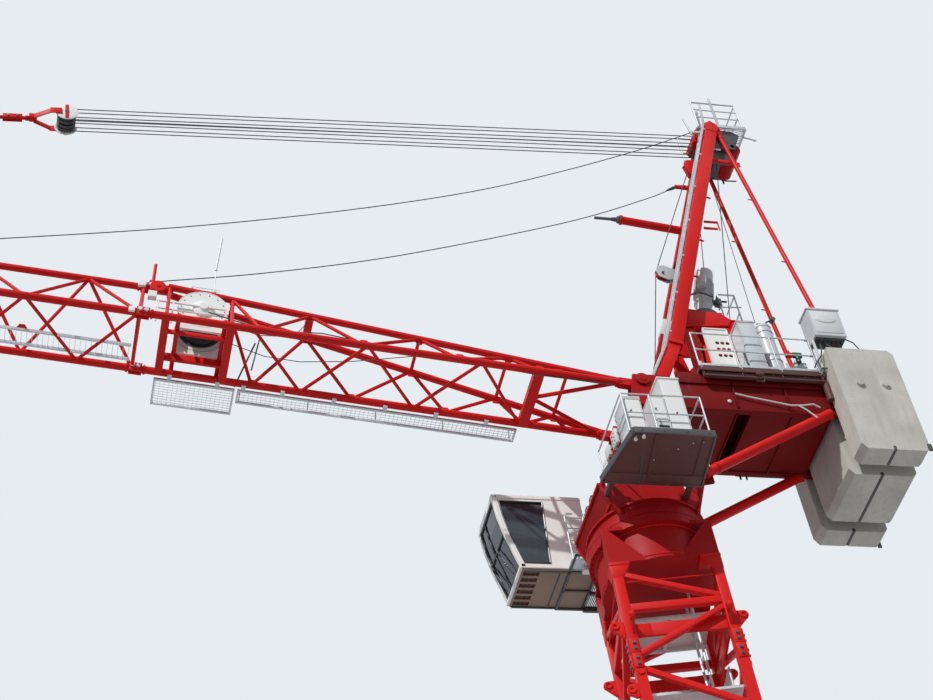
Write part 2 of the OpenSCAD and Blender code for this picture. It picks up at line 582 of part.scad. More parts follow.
module luffing_falls() color("#3c3f42") for (y = sheave_y) for (s = [-1, 1])
    rope(tangent(rope_top, sheave_r + rope_r, eq, 125 + rope_r, s), y, y);
module hoist_rope_rear() color("#3c3f42") difference() {
    union() {
        rope(tangent(socket, 0.1, on_jib(turn), turn_r + rope_r, 1), 0, 95);
        wheel(socket.x, 0, socket.z, 24, 16);
    }
    wheel(socket.x, 0, socket.z, 12 + pin_gap, 40);
}
module hoist_rope_front() color("#3c3f42")
    rope(tangent(rope_top, sheave_r + rope_r, on_jib([tip + 300, 0, jib_h - 40]), head_r + rope_r, 1), 200, 150);

foundation_cross();
mast_section(0);  // mast_section_1
mast_section(1);  // mast_section_2
mast_section(2);  // mast_section_3
mast_head();
slewing_drum();
mast_access();
slewing_ring();
turret();
hinge_pins();
side_platform();
side_rails();
switch_cabinets();
cab_shell();
cab_glass();
cab_access();
counter_jib();
counter_braces();
deck();
deck_rails();
counterweights();
luffing_winch();
winch_drive();
deck_machinery();
a_frame();
backstays();
rope_sheaves();
apex_platform();
luff_stop();
standing_ropes();
jib_pivot_section();
jib_section(0);  // jib_section_1
jib_section(1);  // jib_section_2
jib_section(2);  // jib_section_3
jib_section(3);  // jib_section_4
jib_section(4);  // jib_section_5
jib_section(5);  // jib_section_6
jib_head();
jib_walkway();
hoist_winch();
winch_cover();
pendants();
luffing_falls();
hoist_rope_rear();
hoist_rope_front();
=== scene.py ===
# Luffing-jib tower crane, 1:2 scale model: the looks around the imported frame.
# All lengths are in metres, in the frame's own axes: X along the jib at rest, Y to the side of the
# switch cabinets, Z up.
import math

import bpy
from mathutils import Matrix, Vector


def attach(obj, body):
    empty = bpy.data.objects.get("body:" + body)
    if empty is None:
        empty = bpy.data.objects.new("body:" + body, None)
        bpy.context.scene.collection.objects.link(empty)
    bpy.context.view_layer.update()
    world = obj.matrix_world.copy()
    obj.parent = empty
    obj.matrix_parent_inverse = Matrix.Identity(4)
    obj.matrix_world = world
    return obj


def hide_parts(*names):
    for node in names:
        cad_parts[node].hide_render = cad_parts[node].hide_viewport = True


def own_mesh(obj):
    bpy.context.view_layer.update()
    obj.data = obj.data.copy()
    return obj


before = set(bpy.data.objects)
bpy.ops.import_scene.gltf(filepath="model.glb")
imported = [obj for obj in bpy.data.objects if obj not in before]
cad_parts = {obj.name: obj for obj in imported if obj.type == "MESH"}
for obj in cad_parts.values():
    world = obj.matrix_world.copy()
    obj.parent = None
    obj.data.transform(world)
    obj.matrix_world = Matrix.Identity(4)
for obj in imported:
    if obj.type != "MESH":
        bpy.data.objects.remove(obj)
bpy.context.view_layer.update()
bpy.ops.object.select_all(action="DESELECT")

# Camera. It stands at street level on the cabinet side and looks up past the mast, so the foot of the
# crane is below the picture. Its place and turn come from lines of the photograph.
scene = bpy.context.scene
scene.view_settings.view_transform = "Standard"
camera_right = Vector((-0.96896, 0.2075, -0.13437))
camera_up = Vector((0.0571, 0.71673, 0.69501))
camera_back = Vector((0.24052, 0.66576, -0.70634))
camera_place = (7.3436, 15.7955, -5.1511)
film_width, picture_width, focal_pixels = 36, 933, 2015.82
bpy.ops.object.camera_add()
camera = bpy.context.object
turn = Matrix((camera_right, camera_up, camera_back)).transposed()
camera.matrix_world = Matrix.Translation(camera_place) @ turn.to_4x4()
camera.data.sensor_width = film_width
camera.data.lens = film_width * focal_pixels / picture_width
camera.data.clip_end = 500
scene.camera = camera


def feed(tree, node, inputs):
    """Sets the node's sockets: a value goes on the socket itself, another socket is linked to it."""
    for socket, value in inputs.items():
        if isinstance(value, bpy.types.NodeSocket):
            tree.links.new(value, node.inputs[socket])
        else:
            node.inputs[socket].default_value = value


def add(tree, kind, inputs=None, **attributes):
    node = tree.nodes.new("ShaderNode" + kind)
    for name, value in attributes.items():
        setattr(node, name, value)
    feed(tree, node, inputs or {})
    return node


def maths(tree, operation, first, second):
    return add(tree, "Math", {0: first, 1: second}, operation=operation).outputs[0]


# World and lamps. Soft daylight comes from all sides, a hard sun from the left and above, and a weak
# broad one from behind. What the camera sees past the crane is a plain pale sky.
world = bpy.data.worlds.new("pale_sky")
scene.world = world
world.use_nodes = True
sky = world.node_tree
sky.nodes.clear()
rays = add(sky, "LightPath").outputs
seen = maths(sky, "MAXIMUM", rays["Is Camera Ray"], rays["Is Glossy Ray"])
seen = maths(sky, "MAXIMUM", seen, rays["Is Transmission Ray"])
daylight = add(sky, "Background", {"Color": (0.86, 0.92, 1.0, 1), "Strength": 0.36}).outputs[0]
backdrop = add(sky, "Background", {"Color": (0.8, 0.84, 0.88, 1), "Strength": 1.0}).outputs[0]
either = add(sky, "MixShader", {0: seen, 1: daylight, 2: backdrop}).outputs[0]
add(sky, "OutputWorld", {0: either})
suns = (("main_sun", (7.5, 8.5, 11.5), 3.0, 0.8), ("rim_sun", (-10.0, -8.0, 9.0), 0.35, 25))
for sun_name, sun_from, strength, width in suns:
    bpy.ops.object.light_add(type="SUN", location=sun_from)
    lamp = bpy.context.object
    lamp.name = sun_name
    lamp.rotation_euler = Vector(sun_from).to_track_quat("Z", "Y").to_euler()
    lamp.data.energy = strength
    lamp.data.angle = math.radians(width)


def new_look(name):
    """Gives a new look with its nodes and shader."""
    look = bpy.data.materials.new(name)
    look.use_nodes = True
    return look, look.node_tree, look.node_tree.nodes["Principled BSDF"]


# Floor. A plain pale disc lies round the foot, small enough to stay out of the picture, which looks
# up from below it.
bpy.ops.mesh.primitive_circle_add(vertices=96, radius=6.5, fill_type="NGON", location=(0, 0, -0.002))
floor = bpy.context.object
floor.name = "floor"
bpy.ops.object.transform_apply()
floor_look, tree, skin = new_look("pale_floor")
feed(tree, skin, {"Base Color": (0.72, 0.73, 0.74, 1), "Roughness": 0.9})
floor.data.materials.append(floor_look)

# Paint coat. One effect serves every painted sheet and bar: a slow change of tone, rain streaks, dust on
# what faces up and a fine ripple of the sprayed coat.
coat = bpy.data.node_groups.new("painted_coat", "ShaderNodeTree")
group_inputs = {"Paint": (0.7, 0.02, 0.02, 1), "Faded": (0.8, 0.1, 0.08, 1), "Dust": (0.3, 0.27, 0.24, 1),
                "Dust Amount": 0.2, "Gloss Roughness": 0.35, "Pattern Scale": 1.0}
for name, value in group_inputs.items():
    kind = "NodeSocketColor" if isinstance(value, tuple) else "NodeSocketFloat"
    coat.interface.new_socket(name, in_out="INPUT", socket_type=kind).default_value = value
for name, kind in (("Color", "Color"), ("Roughness", "Float"), ("Height", "Float")):
    coat.interface.new_socket(name, in_out="OUTPUT", socket_type="NodeSocket" + kind)
given = coat.nodes.new("NodeGroupInput").outputs
coat_out = coat.nodes.new("NodeGroupOutput")
place = add(coat, "TexCoord").outputs["Object"]


def noise(tree, vector, scale, detail, stretch=(1, 1, 1)):
    mapping = add(tree, "Mapping", {"Vector": vector, "Scale": stretch})
    return add(tree, "TexNoise", {"Vector": mapping.outputs["Vector"], "Scale": scale,
        "Detail": detail}).outputs["Fac"]


def ramp(tree, value, low, high, to_low=0.0, to_high=1.0):
    ends = {"From Min": low, "From Max": high, "To Min": to_low, "To Max": to_high}
    return add(tree, "MapRange", {"Value": value, **ends}).outputs["Result"]


def blend_colour(tree, amount, first, second):
    return add(tree, "Mix", {0: amount, 6: first, 7: second}, data_type="RGBA").outputs[2]


def relief(tree, height, strength, distance):
    return add(tree, "Bump", {"Height": height, "Strength": strength, "Distance": distance}).outputs["Normal"]


slow = noise(coat, place, given["Pattern Scale"], 3)
streak = noise(coat, place, 5.0, 4, (3, 3, 0.35))
grit = noise(coat, place, 60.0, 3)
fading = maths(coat, "MAXIMUM", ramp(coat, slow, 0.35, 0.7, 0.0, 0.6), ramp(coat, streak, 0.5, 0.75, 0.0, 0.45))
shade = blend_colour(coat, fading, given["Paint"], given["Faded"])
normal = add(coat, "NewGeometry").outputs["Normal"]
upward = add(coat, "SeparateXYZ", {0: normal}).outputs["Z"]
settled = maths(coat, "MULTIPLY", ramp(coat, upward, 0.3, 1.0), ramp(coat, grit, 0.4, 0.62))
washed = maths(coat, "MULTIPLY", ramp(coat, streak, 0.62, 0.8), 0.55)
dirt = maths(coat, "MULTIPLY", maths(coat, "MAXIMUM", settled, washed), given["Dust Amount"])
rough = maths(coat, "ADD", given["Gloss Roughness"], maths(coat, "MULTIPLY", dirt, 0.5))
feed(coat, coat_out, {"Color": blend_colour(coat, dirt, shade, given["Dust"]),
                      "Roughness": maths(coat, "ADD", rough, ramp(coat, slow, 0.3, 0.7, -0.05, 0.08)),
                      "Height": maths(coat, "ADD", maths(coat, "MULTIPLY", grit, 0.3), streak)})


def painted(name, paint, faded, dust=0.25, roughness=0.35, metallic=0.0, coat_weight=0.0, shine=0.5):
    look, tree, skin = new_look(name)
    layer = add(tree, "Group", node_tree=coat)
    feed(tree, layer, {"Paint": (*paint, 1), "Faded": (*faded, 1), "Dust Amount": dust,
                       "Gloss Roughness": roughness, "Pattern Scale": 1.6})
    feed(tree, skin, {"Base Color": layer.outputs["Color"], "Roughness": layer.outputs["Roughness"],
                      "Normal": relief(tree, layer.outputs["Height"], 0.25, 0.002), "Metallic": metallic,
                      "Coat Weight": coat_weight, "Coat Roughness": 0.2, "Specular IOR Level": shine})
    return look


def dress(look, *node_names):
    for node_name in node_names:
        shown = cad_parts[node_name]
        shown.data.materials.clear()
        shown.data.materials.append(look)


# Red steelwork. Mast, turret, A-frame, jib and pendants are welded steel sprayed in one red. The deeper reds
# are painted shade: a little darker on the parts that face down, on the heavier plates and on the far
# A-frame leg, and darkest on the counter-jib box.
red = painted("red_paint", (0.7, 0.01, 0.008), (0.56, 0.01, 0.01), 0.08, 0.45, shine=0.18)
deep_red_and_shade = painted("deep_red_and_shade_paint", (0.44, 0.006, 0.007), (0.33, 0.007, 0.008), 0.1, 0.48, shine=0.15)
painted_shade_red = painted("shaded_red_paint", (0.2, 0.006, 0.006), (0.14, 0.008, 0.008), 0.12, 0.55, shine=0.12)
dress(red, "mast_section_1", "mast_section_2", "mast_section_3", "mast_head", "a_frame", "backstays",
      "jib_pivot_section", "jib_section_1", "jib_section_2", "jib_section_3", "jib_section_4", "jib_section_5",
      "jib_section_6", "jib_head", "pendants", "luff_stop", "luffing_winch")
dress(deep_red_and_shade, "foundation_cross", "slewing_drum", "slewing_ring", "turret", "rope_sheaves")


def surface(name):
    """Gives a new look, its nodes, its shader and the place on the object that its patterns use."""
    look, tree, skin = new_look(name)
    return look, tree, skin, add(tree, "TexCoord").outputs["Object"]


# Hinge pins and the slewing ring. Turned steel, oiled and dark, with faint rings from the lathe.
oiled, tree, skin, spot = surface("oiled_steel")
film = noise(tree, spot, 9, 4)
turning = noise(tree, spot, 80, 2, (0.1, 0.1, 4))
shade = blend_colour(tree, ramp(tree, film, 0.35, 0.65), (0.16, 0.16, 0.17, 1), (0.3, 0.3, 0.31, 1))
feed(tree, skin, {"Base Color": shade, "Roughness": ramp(tree, film, 0.3, 0.7, 0.28, 0.5), "Metallic": 0.9,
                  "Normal": relief(tree, turning, 0.2, 0.001)})
dress(oiled, "hinge_pins")
# Dark steel; the same look is also painted shade on galvanised frames that lie in shadow.
dark_steel_and_shade = painted("dark_steel_and_shade", (0.07, 0.07, 0.075), (0.13, 0.12, 0.12), 0.3, 0.5,
    metallic=0.6)

# Galvanised walkways and rails. Hot-dip zinc, dull grey with a patchy crystal pattern and pale bloom.
zinc, tree, skin, spot = surface("galvanised")
crystal = add(tree, "TexVoronoi", {"Vector": spot, "Scale": 45}).outputs["Color"]
bloom = noise(tree, spot, 4, 5)
spangle = ramp(tree, add(tree, "SeparateColor", {0: crystal}).outputs[0], 0, 1, 0.0, 0.7)
base = blend_colour(tree, spangle, (0.46, 0.48, 0.5, 1), (0.6, 0.62, 0.64, 1))
shade = blend_colour(tree, ramp(tree, bloom, 0.5, 0.75, 0, 0.6), base, (0.74, 0.75, 0.75, 1))
feed(tree, skin, {"Base Color": shade, "Roughness": ramp(tree, bloom, 0.3, 0.7, 0.42, 0.62), "Metallic": 0.55,
                  "Normal": relief(tree, bloom, 0.15, 0.001)})
dress(zinc, "mast_access", "side_rails", "deck_rails", "apex_platform")

# Platform and deck frames. Folded steel in dark red-brown primer, dusty on top.
primer = painted("brown_primer", (0.105, 0.042, 0.036), (0.14, 0.065, 0.055), 0.18, 0.6, shine=0.3)
dress(primer, "side_platform", "deck")

# Cabinets, cab and covers. Sheet metal in pale enamels under a clear coat, with rain streaks.
clear = 0.15
cabinet_grey = painted("cabinet_enamel", (0.72, 0.73, 0.71), (0.6, 0.62, 0.62), 0.3, 0.4,
    coat_weight=clear)
cream = painted("cream_enamel", (0.9, 0.9, 0.87), (0.84, 0.83, 0.79), 0.08, 0.3, coat_weight=clear)
machine_grey = painted("machine_enamel", (0.62, 0.65, 0.66), (0.5, 0.53, 0.55), 0.35, 0.42,
    coat_weight=clear)
black = painted("black_enamel", (0.028, 0.028, 0.03), (0.05, 0.05, 0.05), 0.3, 0.45,
    coat_weight=clear)
dress(cabinet_grey, "switch_cabinets")
dress(cream, "cab_shell", "winch_cover")
dress(machine_grey, "winch_drive", "deck_machinery")
dress(black, "hoist_winch")

# Cab glazing. Tinted safety glass in one curved sheet, dark from outside.
glass, tree, skin, spot = surface("tinted_glass")
film = noise(tree, spot, 3, 4)
shade = blend_colour(tree, ramp(tree, film, 0.4, 0.7), (0.035, 0.055, 0.075, 1), (0.06, 0.085, 0.11, 1))
feed(tree, skin, {"Base Color": shade, "Roughness": ramp(tree, film, 0.4, 0.8, 0.04, 0.12),
                  "Transmission Weight": 0.35, "IOR": 1.5})
dress(glass, "cab_glass")

# Ballast. Cast concrete slabs with cement-rich skin, air holes, streaks under the edges and marks of the form.
# The air holes are painted darker, as painted shade in them.
concrete, tree, skin, spot = surface("cast_concrete")
cloud = noise(tree, spot, 2.2, 6)
run_off = noise(tree, spot, 6, 5, (2.5, 2.5, 0.3))
sand = noise(tree, spot, 160, 4)
pit_and_shade = ramp(tree, add(tree, "TexVoronoi", {"Vector": spot, "Scale": 26}).outputs["Distance"], 0.07, 0.14)
tint = blend_colour(tree, ramp(tree, cloud, 0.35, 0.65), (0.5, 0.485, 0.43, 1), (0.63, 0.61, 0.54, 1))
tint = blend_colour(tree, ramp(tree, run_off, 0.5, 0.8, 0, 0.55), tint, (0.42, 0.39, 0.33, 1))
tint = blend_colour(tree, ramp(tree, sand, 0.3, 0.7, 0, 0.12), tint, (0.35, 0.33, 0.29, 1))
rugged = maths(tree, "ADD", pit_and_shade, maths(tree, "MULTIPLY", sand, 0.5))
feed(tree, skin, {"Base Color": blend_colour(tree, pit_and_shade, (0.3, 0.28, 0.24, 1), tint), "Roughness": 0.92,
                  "Normal": relief(tree, rugged, 0.5, 0.003)})
dress(concrete, "counterweights")

# Wire rope. Greased steel strands laid in a right-hand twist, dark and dull.
strand, tree, skin, spot = surface("wire_rope")
lay = add(tree, "TexWave", {"Vector": spot, "Scale": 40, "Distortion": 1.5}, bands_direction="DIAGONAL")
grease = noise(tree, spot, 8, 3)
shade = blend_colour(tree, ramp(tree, grease, 0.4, 0.7), (0.05, 0.052, 0.056, 1), (0.12, 0.12, 0.125, 1))
feed(tree, skin, {"Base Color": shade, "Roughness": ramp(tree, grease, 0.3, 0.7, 0.4, 0.65), "Metallic": 0.4,
                  "Normal": relief(tree, lay.outputs["Fac"], 0.6, 0.002)})
dress(strand, "luffing_falls", "hoist_rope_rear", "hoist_rope_front", "standing_ropes")

# Shapes. Blocks with rounded edges, bars and rods between two points, plates from an outline, turned parts,
# bent pipes and bolts; finished() joins the parts to one piece and says what it rides and stands for.
both = (-1, 1)
mast_turn = -11.25
mast_frame = Matrix.Rotation(math.radians(mast_turn), 4, "Z")
leg_line = 0.5325
leg_face = leg_line + 0.055
hub = 0.0001


def circle(count):
    return [math.tau * k / count for k in range(count)]


def aside(y):
    return Vector((0, y, 0))


def block(low, high, edge=0.003):
    low, high = Vector(low), Vector(high)
    bpy.ops.mesh.primitive_cube_add(size=1, location=(low + high) / 2, scale=high - low)
    bpy.ops.object.transform_apply(location=True, rotation=True, scale=True)
    if edge:
        bpy.ops.object.mode_set(mode="EDIT")
        bpy.ops.mesh.bevel(offset=edge, segments=2, affect="EDGES")
        bpy.ops.object.mode_set(mode="OBJECT")
    return bpy.context.object


def aimed(point, direction, across=(0, 1, 0)):
    along = Vector(direction).normalized()
    side = Vector(across) - along * along.dot(Vector(across))
    if side.length < 0.01:
        side = Vector((1, 0, 0)) - along * along.x
    side.normalize()
    return Matrix.Translation(point) @ Matrix((side.cross(along), side, along)).transposed().to_4x4()


def crosswise(point, way=1):
    return aimed(point, (0, way, 0), (1, 0, 0))


def bar(start, end, width, depth, edge=0.003, across=(0, 1, 0)):
    reach = Vector(end) - Vector(start)
    part = block((-depth / 2, -width / 2, 0), (depth / 2, width / 2, reach.length), edge)
    part.data.transform(aimed(start, reach, across))
    return part


def rod(start, end, radius, sides=16):
    reach = Vector(end) - Vector(start)
    bpy.ops.mesh.primitive_cylinder_add(vertices=sides, radius=radius, depth=reach.length,
        location=(0, 0, reach.length / 2))
    bpy.ops.object.transform_apply(location=True, rotation=True, scale=True)
    part = bpy.context.object
    part.data.transform(aimed(start, reach))
    return part


def plate(outline, normal, low, high, edge=0.003):
    bpy.ops.mesh.primitive_circle_add(vertices=len(outline), fill_type="NGON")
    part = bpy.context.object
    for vertex, (u, v) in zip(part.data.vertices, outline):
        vertex.co = {"X": (low, u, v), "Y": (u, low, v), "Z": (u, v, low)}[normal]
    step = {"X": (high - low, 0, 0), "Y": (0, high - low, 0), "Z": (0, 0, high - low)}[normal]
    bpy.ops.object.mode_set(mode="EDIT")
    bpy.ops.mesh.select_all(action="SELECT")
    bpy.ops.mesh.extrude_region_move(TRANSFORM_OT_translate={"value": step})
    bpy.ops.mesh.select_all(action="SELECT")
    bpy.ops.mesh.normals_make_consistent(inside=False)
    bpy.ops.object.mode_set(mode="OBJECT")
    if edge:
        rounding = part.modifiers.new("edges", "BEVEL")
        rounding.width = edge
        rounding.segments = 2
        rounding.limit_method = "ANGLE"
        bpy.ops.object.modifier_apply(modifier="edges")
    return part


def turned(profile, place, steps=40):
    if isinstance(place, tuple):
        place = Matrix.Translation(place)
    bpy.ops.mesh.primitive_circle_add(vertices=len(profile))
    part = bpy.context.object
    for vertex, (radius, height) in zip(part.data.vertices, profile):
        vertex.co = (radius, 0, height)
    bpy.ops.object.mode_set(mode="EDIT")
    bpy.ops.mesh.select_all(action="SELECT")
    bpy.ops.mesh.spin(steps=steps, angle=math.tau, center=(0, 0, 0), axis=(0, 0, 1))
    bpy.ops.mesh.select_all(action="SELECT")
    bpy.ops.mesh.remove_doubles(threshold=1e-05)
    bpy.ops.mesh.normals_make_consistent(inside=False)
    bpy.ops.object.mode_set(mode="OBJECT")
    part.data.transform(place)
    return part


def pipe(points, radius, sides=8):
    line = bpy.data.curves.new("run", "CURVE")
    line.dimensions = "3D"
    spline = line.splines.new("POLY")
    spline.points.add(len(points) - 1)
    for spot, point in zip(spline.points, points):
        spot.co = (*point, 1)
    line.bevel_depth = radius
    line.bevel_resolution = (sides - 4) // 2
    line.use_fill_caps = True
    part = bpy.data.objects.new("run", line)
    bpy.context.collection.objects.link(part)
    bpy.ops.object.select_all(action="DESELECT")
    part.select_set(True)
    bpy.context.view_layer.objects.active = part
    bpy.ops.object.convert(target="MESH")
    return bpy.context.object


def repeated(part, places):
    made = []
    for place in places:
        twin = part.copy()
        twin.data = part.data.copy()
        twin.data.transform(place)
        bpy.context.collection.objects.link(twin)
        made.append(twin)
    bpy.data.objects.remove(part)
    return made


def placed(parts, place):
    for part in parts:
        part.data.transform(place)
    return parts


def rod_x(x0, x1, y, z, radius, sides=16):
    return rod((x0, y, z), (x1, y, z), radius, sides)


def rod_y(x, y0, y1, z, radius, sides=16):
    return rod((x, y0, z), (x, y1, z), radius, sides)


def rod_z(x, y, z0, z1, radius, sides=16):
    return rod((x, y, z0), (x, y, z1), radius, sides)


def bar_x(x0, x1, y, z, *shape):
    return bar((x0, y, z), (x1, y, z), *shape)


def bar_y(x, y0, y1, z, *shape):
    return bar((x, y0, z), (x, y1, z), *shape)


def bar_z(x, y, z0, z1, *shape):
    return bar((x, y, z0), (x, y, z1), *shape)


def bent_pipe(points, y, radius):
    return pipe([(x, y, z) for x, z in points], radius)


def upright(outline, middle, half, edge=0.003):
    return plate(outline, "Y", middle - half, middle + half, edge)


def grooved(half, place, steps=40):
    """Turns a profile that is the same on both sides of its middle; half of it is given."""
    return turned([(radius, -height) for radius, height in half] + half[::-1], place, steps)


def blocks(rows, edge=0.003):
    return [block(row[:3], row[3:], edge) for row in rows]


def solid(profile, place, steps=40):
    return turned([(hub, profile[0][1]), *profile, (hub, profile[-1][1])], place, steps)


def disc(radius, low, high, place, steps=40):
    return solid([(radius, low), (radius, high)], place, steps)


def hoop(inner, outer, low, high, place, steps=40):
    return turned([(inner, low), (outer, low), (outer, high), (inner, high)], place, steps)


def bolts(spots, radius, height):
    head = solid([(radius * 1.35, 0), (radius * 1.35, height * 0.2), (radius * 0.95, height * 0.25),
        (radius, height * 0.3), (radius, height * 0.85), (radius * 0.86, height)], (0, 0, 0), 6)
    return repeated(head, [aimed(point, direction) for point, direction in spots])


def finished(name, parts, look, *stands_for, body="upperworks", slot=None, smooth=35):
    bpy.ops.object.select_all(action="DESELECT")
    for part in parts:
        part.select_set(True)
    bpy.context.view_layer.objects.active = parts[0]
    if len(parts) > 1:
        bpy.ops.object.join()
    piece = bpy.context.view_layer.objects.active
    bpy.ops.object.shade_smooth_by_angle(angle=math.radians(smooth))
    piece.name = piece.data.name = name
    piece.data.materials.clear()
    piece.data.materials.append(look)
    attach(piece, body)
    if stands_for:
        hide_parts(*stands_for)
    bpy.ops.object.select_all(action="DESELECT")
    return piece


# Foundation fittings. The cross is held down by four threaded bars with square washers and double nuts,
# and three-cornered ribs are welded between each mast leg and its beam.
ribs, anchors, nuts = [], [], []
anchor_line = leg_line * math.sqrt(2) + 0.18 - 0.0672
for quarter in range(4):
    around = mast_frame @ Matrix.Rotation(math.radians(45 + 90 * quarter), 4, "Z")
    foot = leg_line * math.sqrt(2)
    for along in both:
        rib = plate([(foot + along * 0.075, 0.285), (foot + along * (0.19 if along > 0 else 0.34), 0.285),
            (foot + along * 0.09, 0.56), (foot + along * 0.075, 0.56)], "Y", -0.008, 0.008, 0.002)
        ribs += placed([rib], around)
    washer = block((anchor_line - 0.05, -0.05, 0.285), (anchor_line + 0.05, 0.05, 0.3))
    stud = rod_z(anchor_line, 0, 0.02, 0.4, 0.02, 20)
    anchors += placed([washer, stud], around)
    nuts += [(around @ Vector((anchor_line, 0, level)), (0, 0, 1)) for level in (0.3, 0.328)]
finished("foundation_ribs", ribs, deep_red_and_shade, body="mast")
finished("foundation_anchors", anchors + bolts(nuts, 0.036, 0.028), oiled, body="mast")

# Mast joints. Cover plates lie over each seam of the legs, on both outer faces, with two bolts above
# the seam and two below it, and a half-round stop is welded under the lower pair.
covers, joint_bolts = [], []
for level in (2.522, 4.672, 6.822):
    for quarter in range(4):
        around = mast_frame @ Matrix.Rotation(quarter * math.pi / 2, 4, "Z")
        for half in both:
            low, high = sorted((level + half * 0.003, level + half * 0.18))
            covers += placed([block((leg_face, leg_line - 0.045, low), (leg_face + 0.012, leg_line + 0.045, high)),
                block((leg_line - 0.045, leg_face, low), (leg_line + 0.045, leg_face + 0.012, high))], around)
        covers += placed([rod_y(leg_line, leg_face, leg_face + 0.014, level - 0.235, 0.034, 24)], around)
        for rise in (-0.14, -0.065, 0.05, 0.12):
            for point, direction in (((leg_face + 0.012, leg_line, level + rise), (1, 0, 0)),
                    ((leg_line, leg_face + 0.012, level + rise), (0, 1, 0))):
                joint_bolts.append((around @ Vector(point), around.to_3x3() @ Vector(direction)))
finished("mast_joint_covers", covers, red, body="mast")
finished("mast_joint_bolts", bolts(joint_bolts, 0.017, 0.018), dark_steel_and_shade, body="mast")

# Mast head. Four square legs widen into the drum's foot with welded haunches. Each side has two
# diagonals, a rail, a thin tie rod and a deep band plate whose rounded ends are lifting lugs.
head_parts = []
for quarter in range(4):
    around = mast_frame @ Matrix.Rotation(quarter * math.pi / 2, 4, "Z")
    shift = 0.004 * (quarter % 2)
    inner = leg_line - 0.055
    made = [block((inner, inner, 6.735), (leg_face, leg_face, 7.999), 0.006),
        bar((leg_line, leg_line + 0.018, 7.865), (-leg_line, leg_line + 0.018, 7.435), 0.066, 0.06),
        bar((-leg_line, leg_line + 0.018, 7.34), (leg_line, leg_line + 0.018, 6.8), 0.066, 0.06),
        bar_x(-leg_line, leg_line, leg_line + 0.018, 7.405 + shift, 0.064, 0.085),
        block((inner - 0.1, inner - 0.1, 7.962), (leg_face + 0.008, leg_face + 0.008, 7.999)),
        rod_x(-leg_line, leg_line, leg_line + 0.04, 7.734, 0.007, 8)]
    for side in both:
        made.append(plate([(side * leg_face, 7.97), (side * (inner - 0.1), 7.97), (side * inner, 7.8),
            (side * leg_face, 7.8)], "Y", leg_line + 0.035, leg_face + 0.002 + shift))
        end = [(side * (0.672 + 0.056 * math.cos(math.radians(a))),
            7.222 + shift + 0.056 * math.sin(math.radians(a))) for a in range(-60, 91, 15)]
        made.append(plate([(side * 0.3, 7.07), (side * 0.6, 7.07)] + end + [(side * 0.6, 7.28),
            (side * 0.56, 7.232), (side * 0.3, 7.232)], "Y", leg_line - 0.046 + shift, leg_line - 0.016 + shift))
        for face, out in ((leg_line - 0.016 + shift, 1), (leg_line - 0.046 + shift, -1)):
            made.append(solid([(0.021, -0.002), (0.021, 0.01), (0.026, 0.014), (0.04, 0.014), (0.044, 0.009),
                (0.044, -0.003)], crosswise((side * 0.672, face, 7.222 + shift), out), 24))
    made.append(plate([(-0.31, 7.072), (0.31, 7.072), (0.31, 7.23), (-0.31, 7.23)], "Y", leg_line - 0.045 + shift,
        leg_line - 0.017 + shift))
    head_parts += placed(made, around)
finished("mast_head_frame", head_parts, red, "mast_head", body="mast")

# Lower lugs and the top landing. Two more lugs stand on the third section, and a sheet-metal landing
# with an angle frame lies under the drum.
lugs = []
for side in both:
    middle = side * (leg_line + 0.02)
    lugs.append(upright([(leg_face - 0.01, 6.3), (leg_face + 0.04, 6.3), (leg_face + 0.115, 6.35),
        (leg_face + 0.125, 6.4), (leg_face + 0.1, 6.45), (leg_face + 0.05, 6.47), (leg_face - 0.01, 6.47)], middle,
        0.016))
    for out in both:
        lugs.append(solid([(0.02, -0.002), (0.02, 0.01), (0.042, 0.012), (0.045, 0.008), (0.045, -0.003)],
            crosswise((leg_face + 0.072, middle + out * 0.016, 6.395), out), 24))
finished("mast_lower_lugs", placed(lugs, mast_frame), red, body="mast")
sheet = plate([(-0.46, -0.46), (0.46, -0.46), (0.46, 0.1), (-0.46, 0.1)], "Z", 7.6, 7.608)
landing = [sheet]
landing += [bar((x0, y0, 7.58), (x1, y1, 7.58), 0.04, 0.04)
    for x0, y0, x1, y1 in ((-0.46, -0.46, 0.46, -0.46), (0.46, -0.46, 0.46, 0.1), (-0.46, 0.1, 0.46, 0.1),
    (0, -0.46, 0, 0.1))]
finished("mast_top_landing", placed(landing, mast_frame), cabinet_grey, body="mast", slot="galvanised_steel")

# Landing gratings. Each rest platform in the mast has a welded grid on its sheet and a hinged hatch.
grid = []
for level in (2.055, 4.205, 6.355):
    for x in [-0.42 + 0.06 * k for k in range(15)]:
        if not -0.47 < x < -0.06:
            grid.append(block((x - 0.004, -0.47, level + 0.0301), (x + 0.004, 0.47, level + 0.042), 0))
    for y in (-0.45, -0.3, 0.3, 0.45):
        grid.append(block((-0.47, y - 0.004, level + 0.0301), (0.47, y + 0.004, level + 0.046), 0))
    grid.append(plate([(-0.46, -0.22), (-0.44, -0.22), (-0.44, 0.22), (-0.46, 0.22)], "Z", level + 0.03,
        level + 0.45, 0.004))
finished("mast_landing_grids", placed(grid, mast_frame), zinc, body="mast")

# Slewing ring bolts. A full circle of hexagon bolts holds the fixed race from below the drum's top plate,
# and weld beads run round both ends of the drum.
drum_bolts = [((0.665 * math.cos(a), 0.665 * math.sin(a), 8.435), (0, 0, -1)) for a in circle(48)]
beads = [turned([(0.618 + 0.012 * math.cos(a), z + 0.012 * math.sin(a)) for a in circle(8)], (0, 0, 0), 64)
    for z in (8.045, 8.43)]
finished("drum_weld_beads", beads, red, body="mast")
finished("drum_bolts", bolts(drum_bolts, 0.012, 0.014), deep_red_and_shade, body="mast")

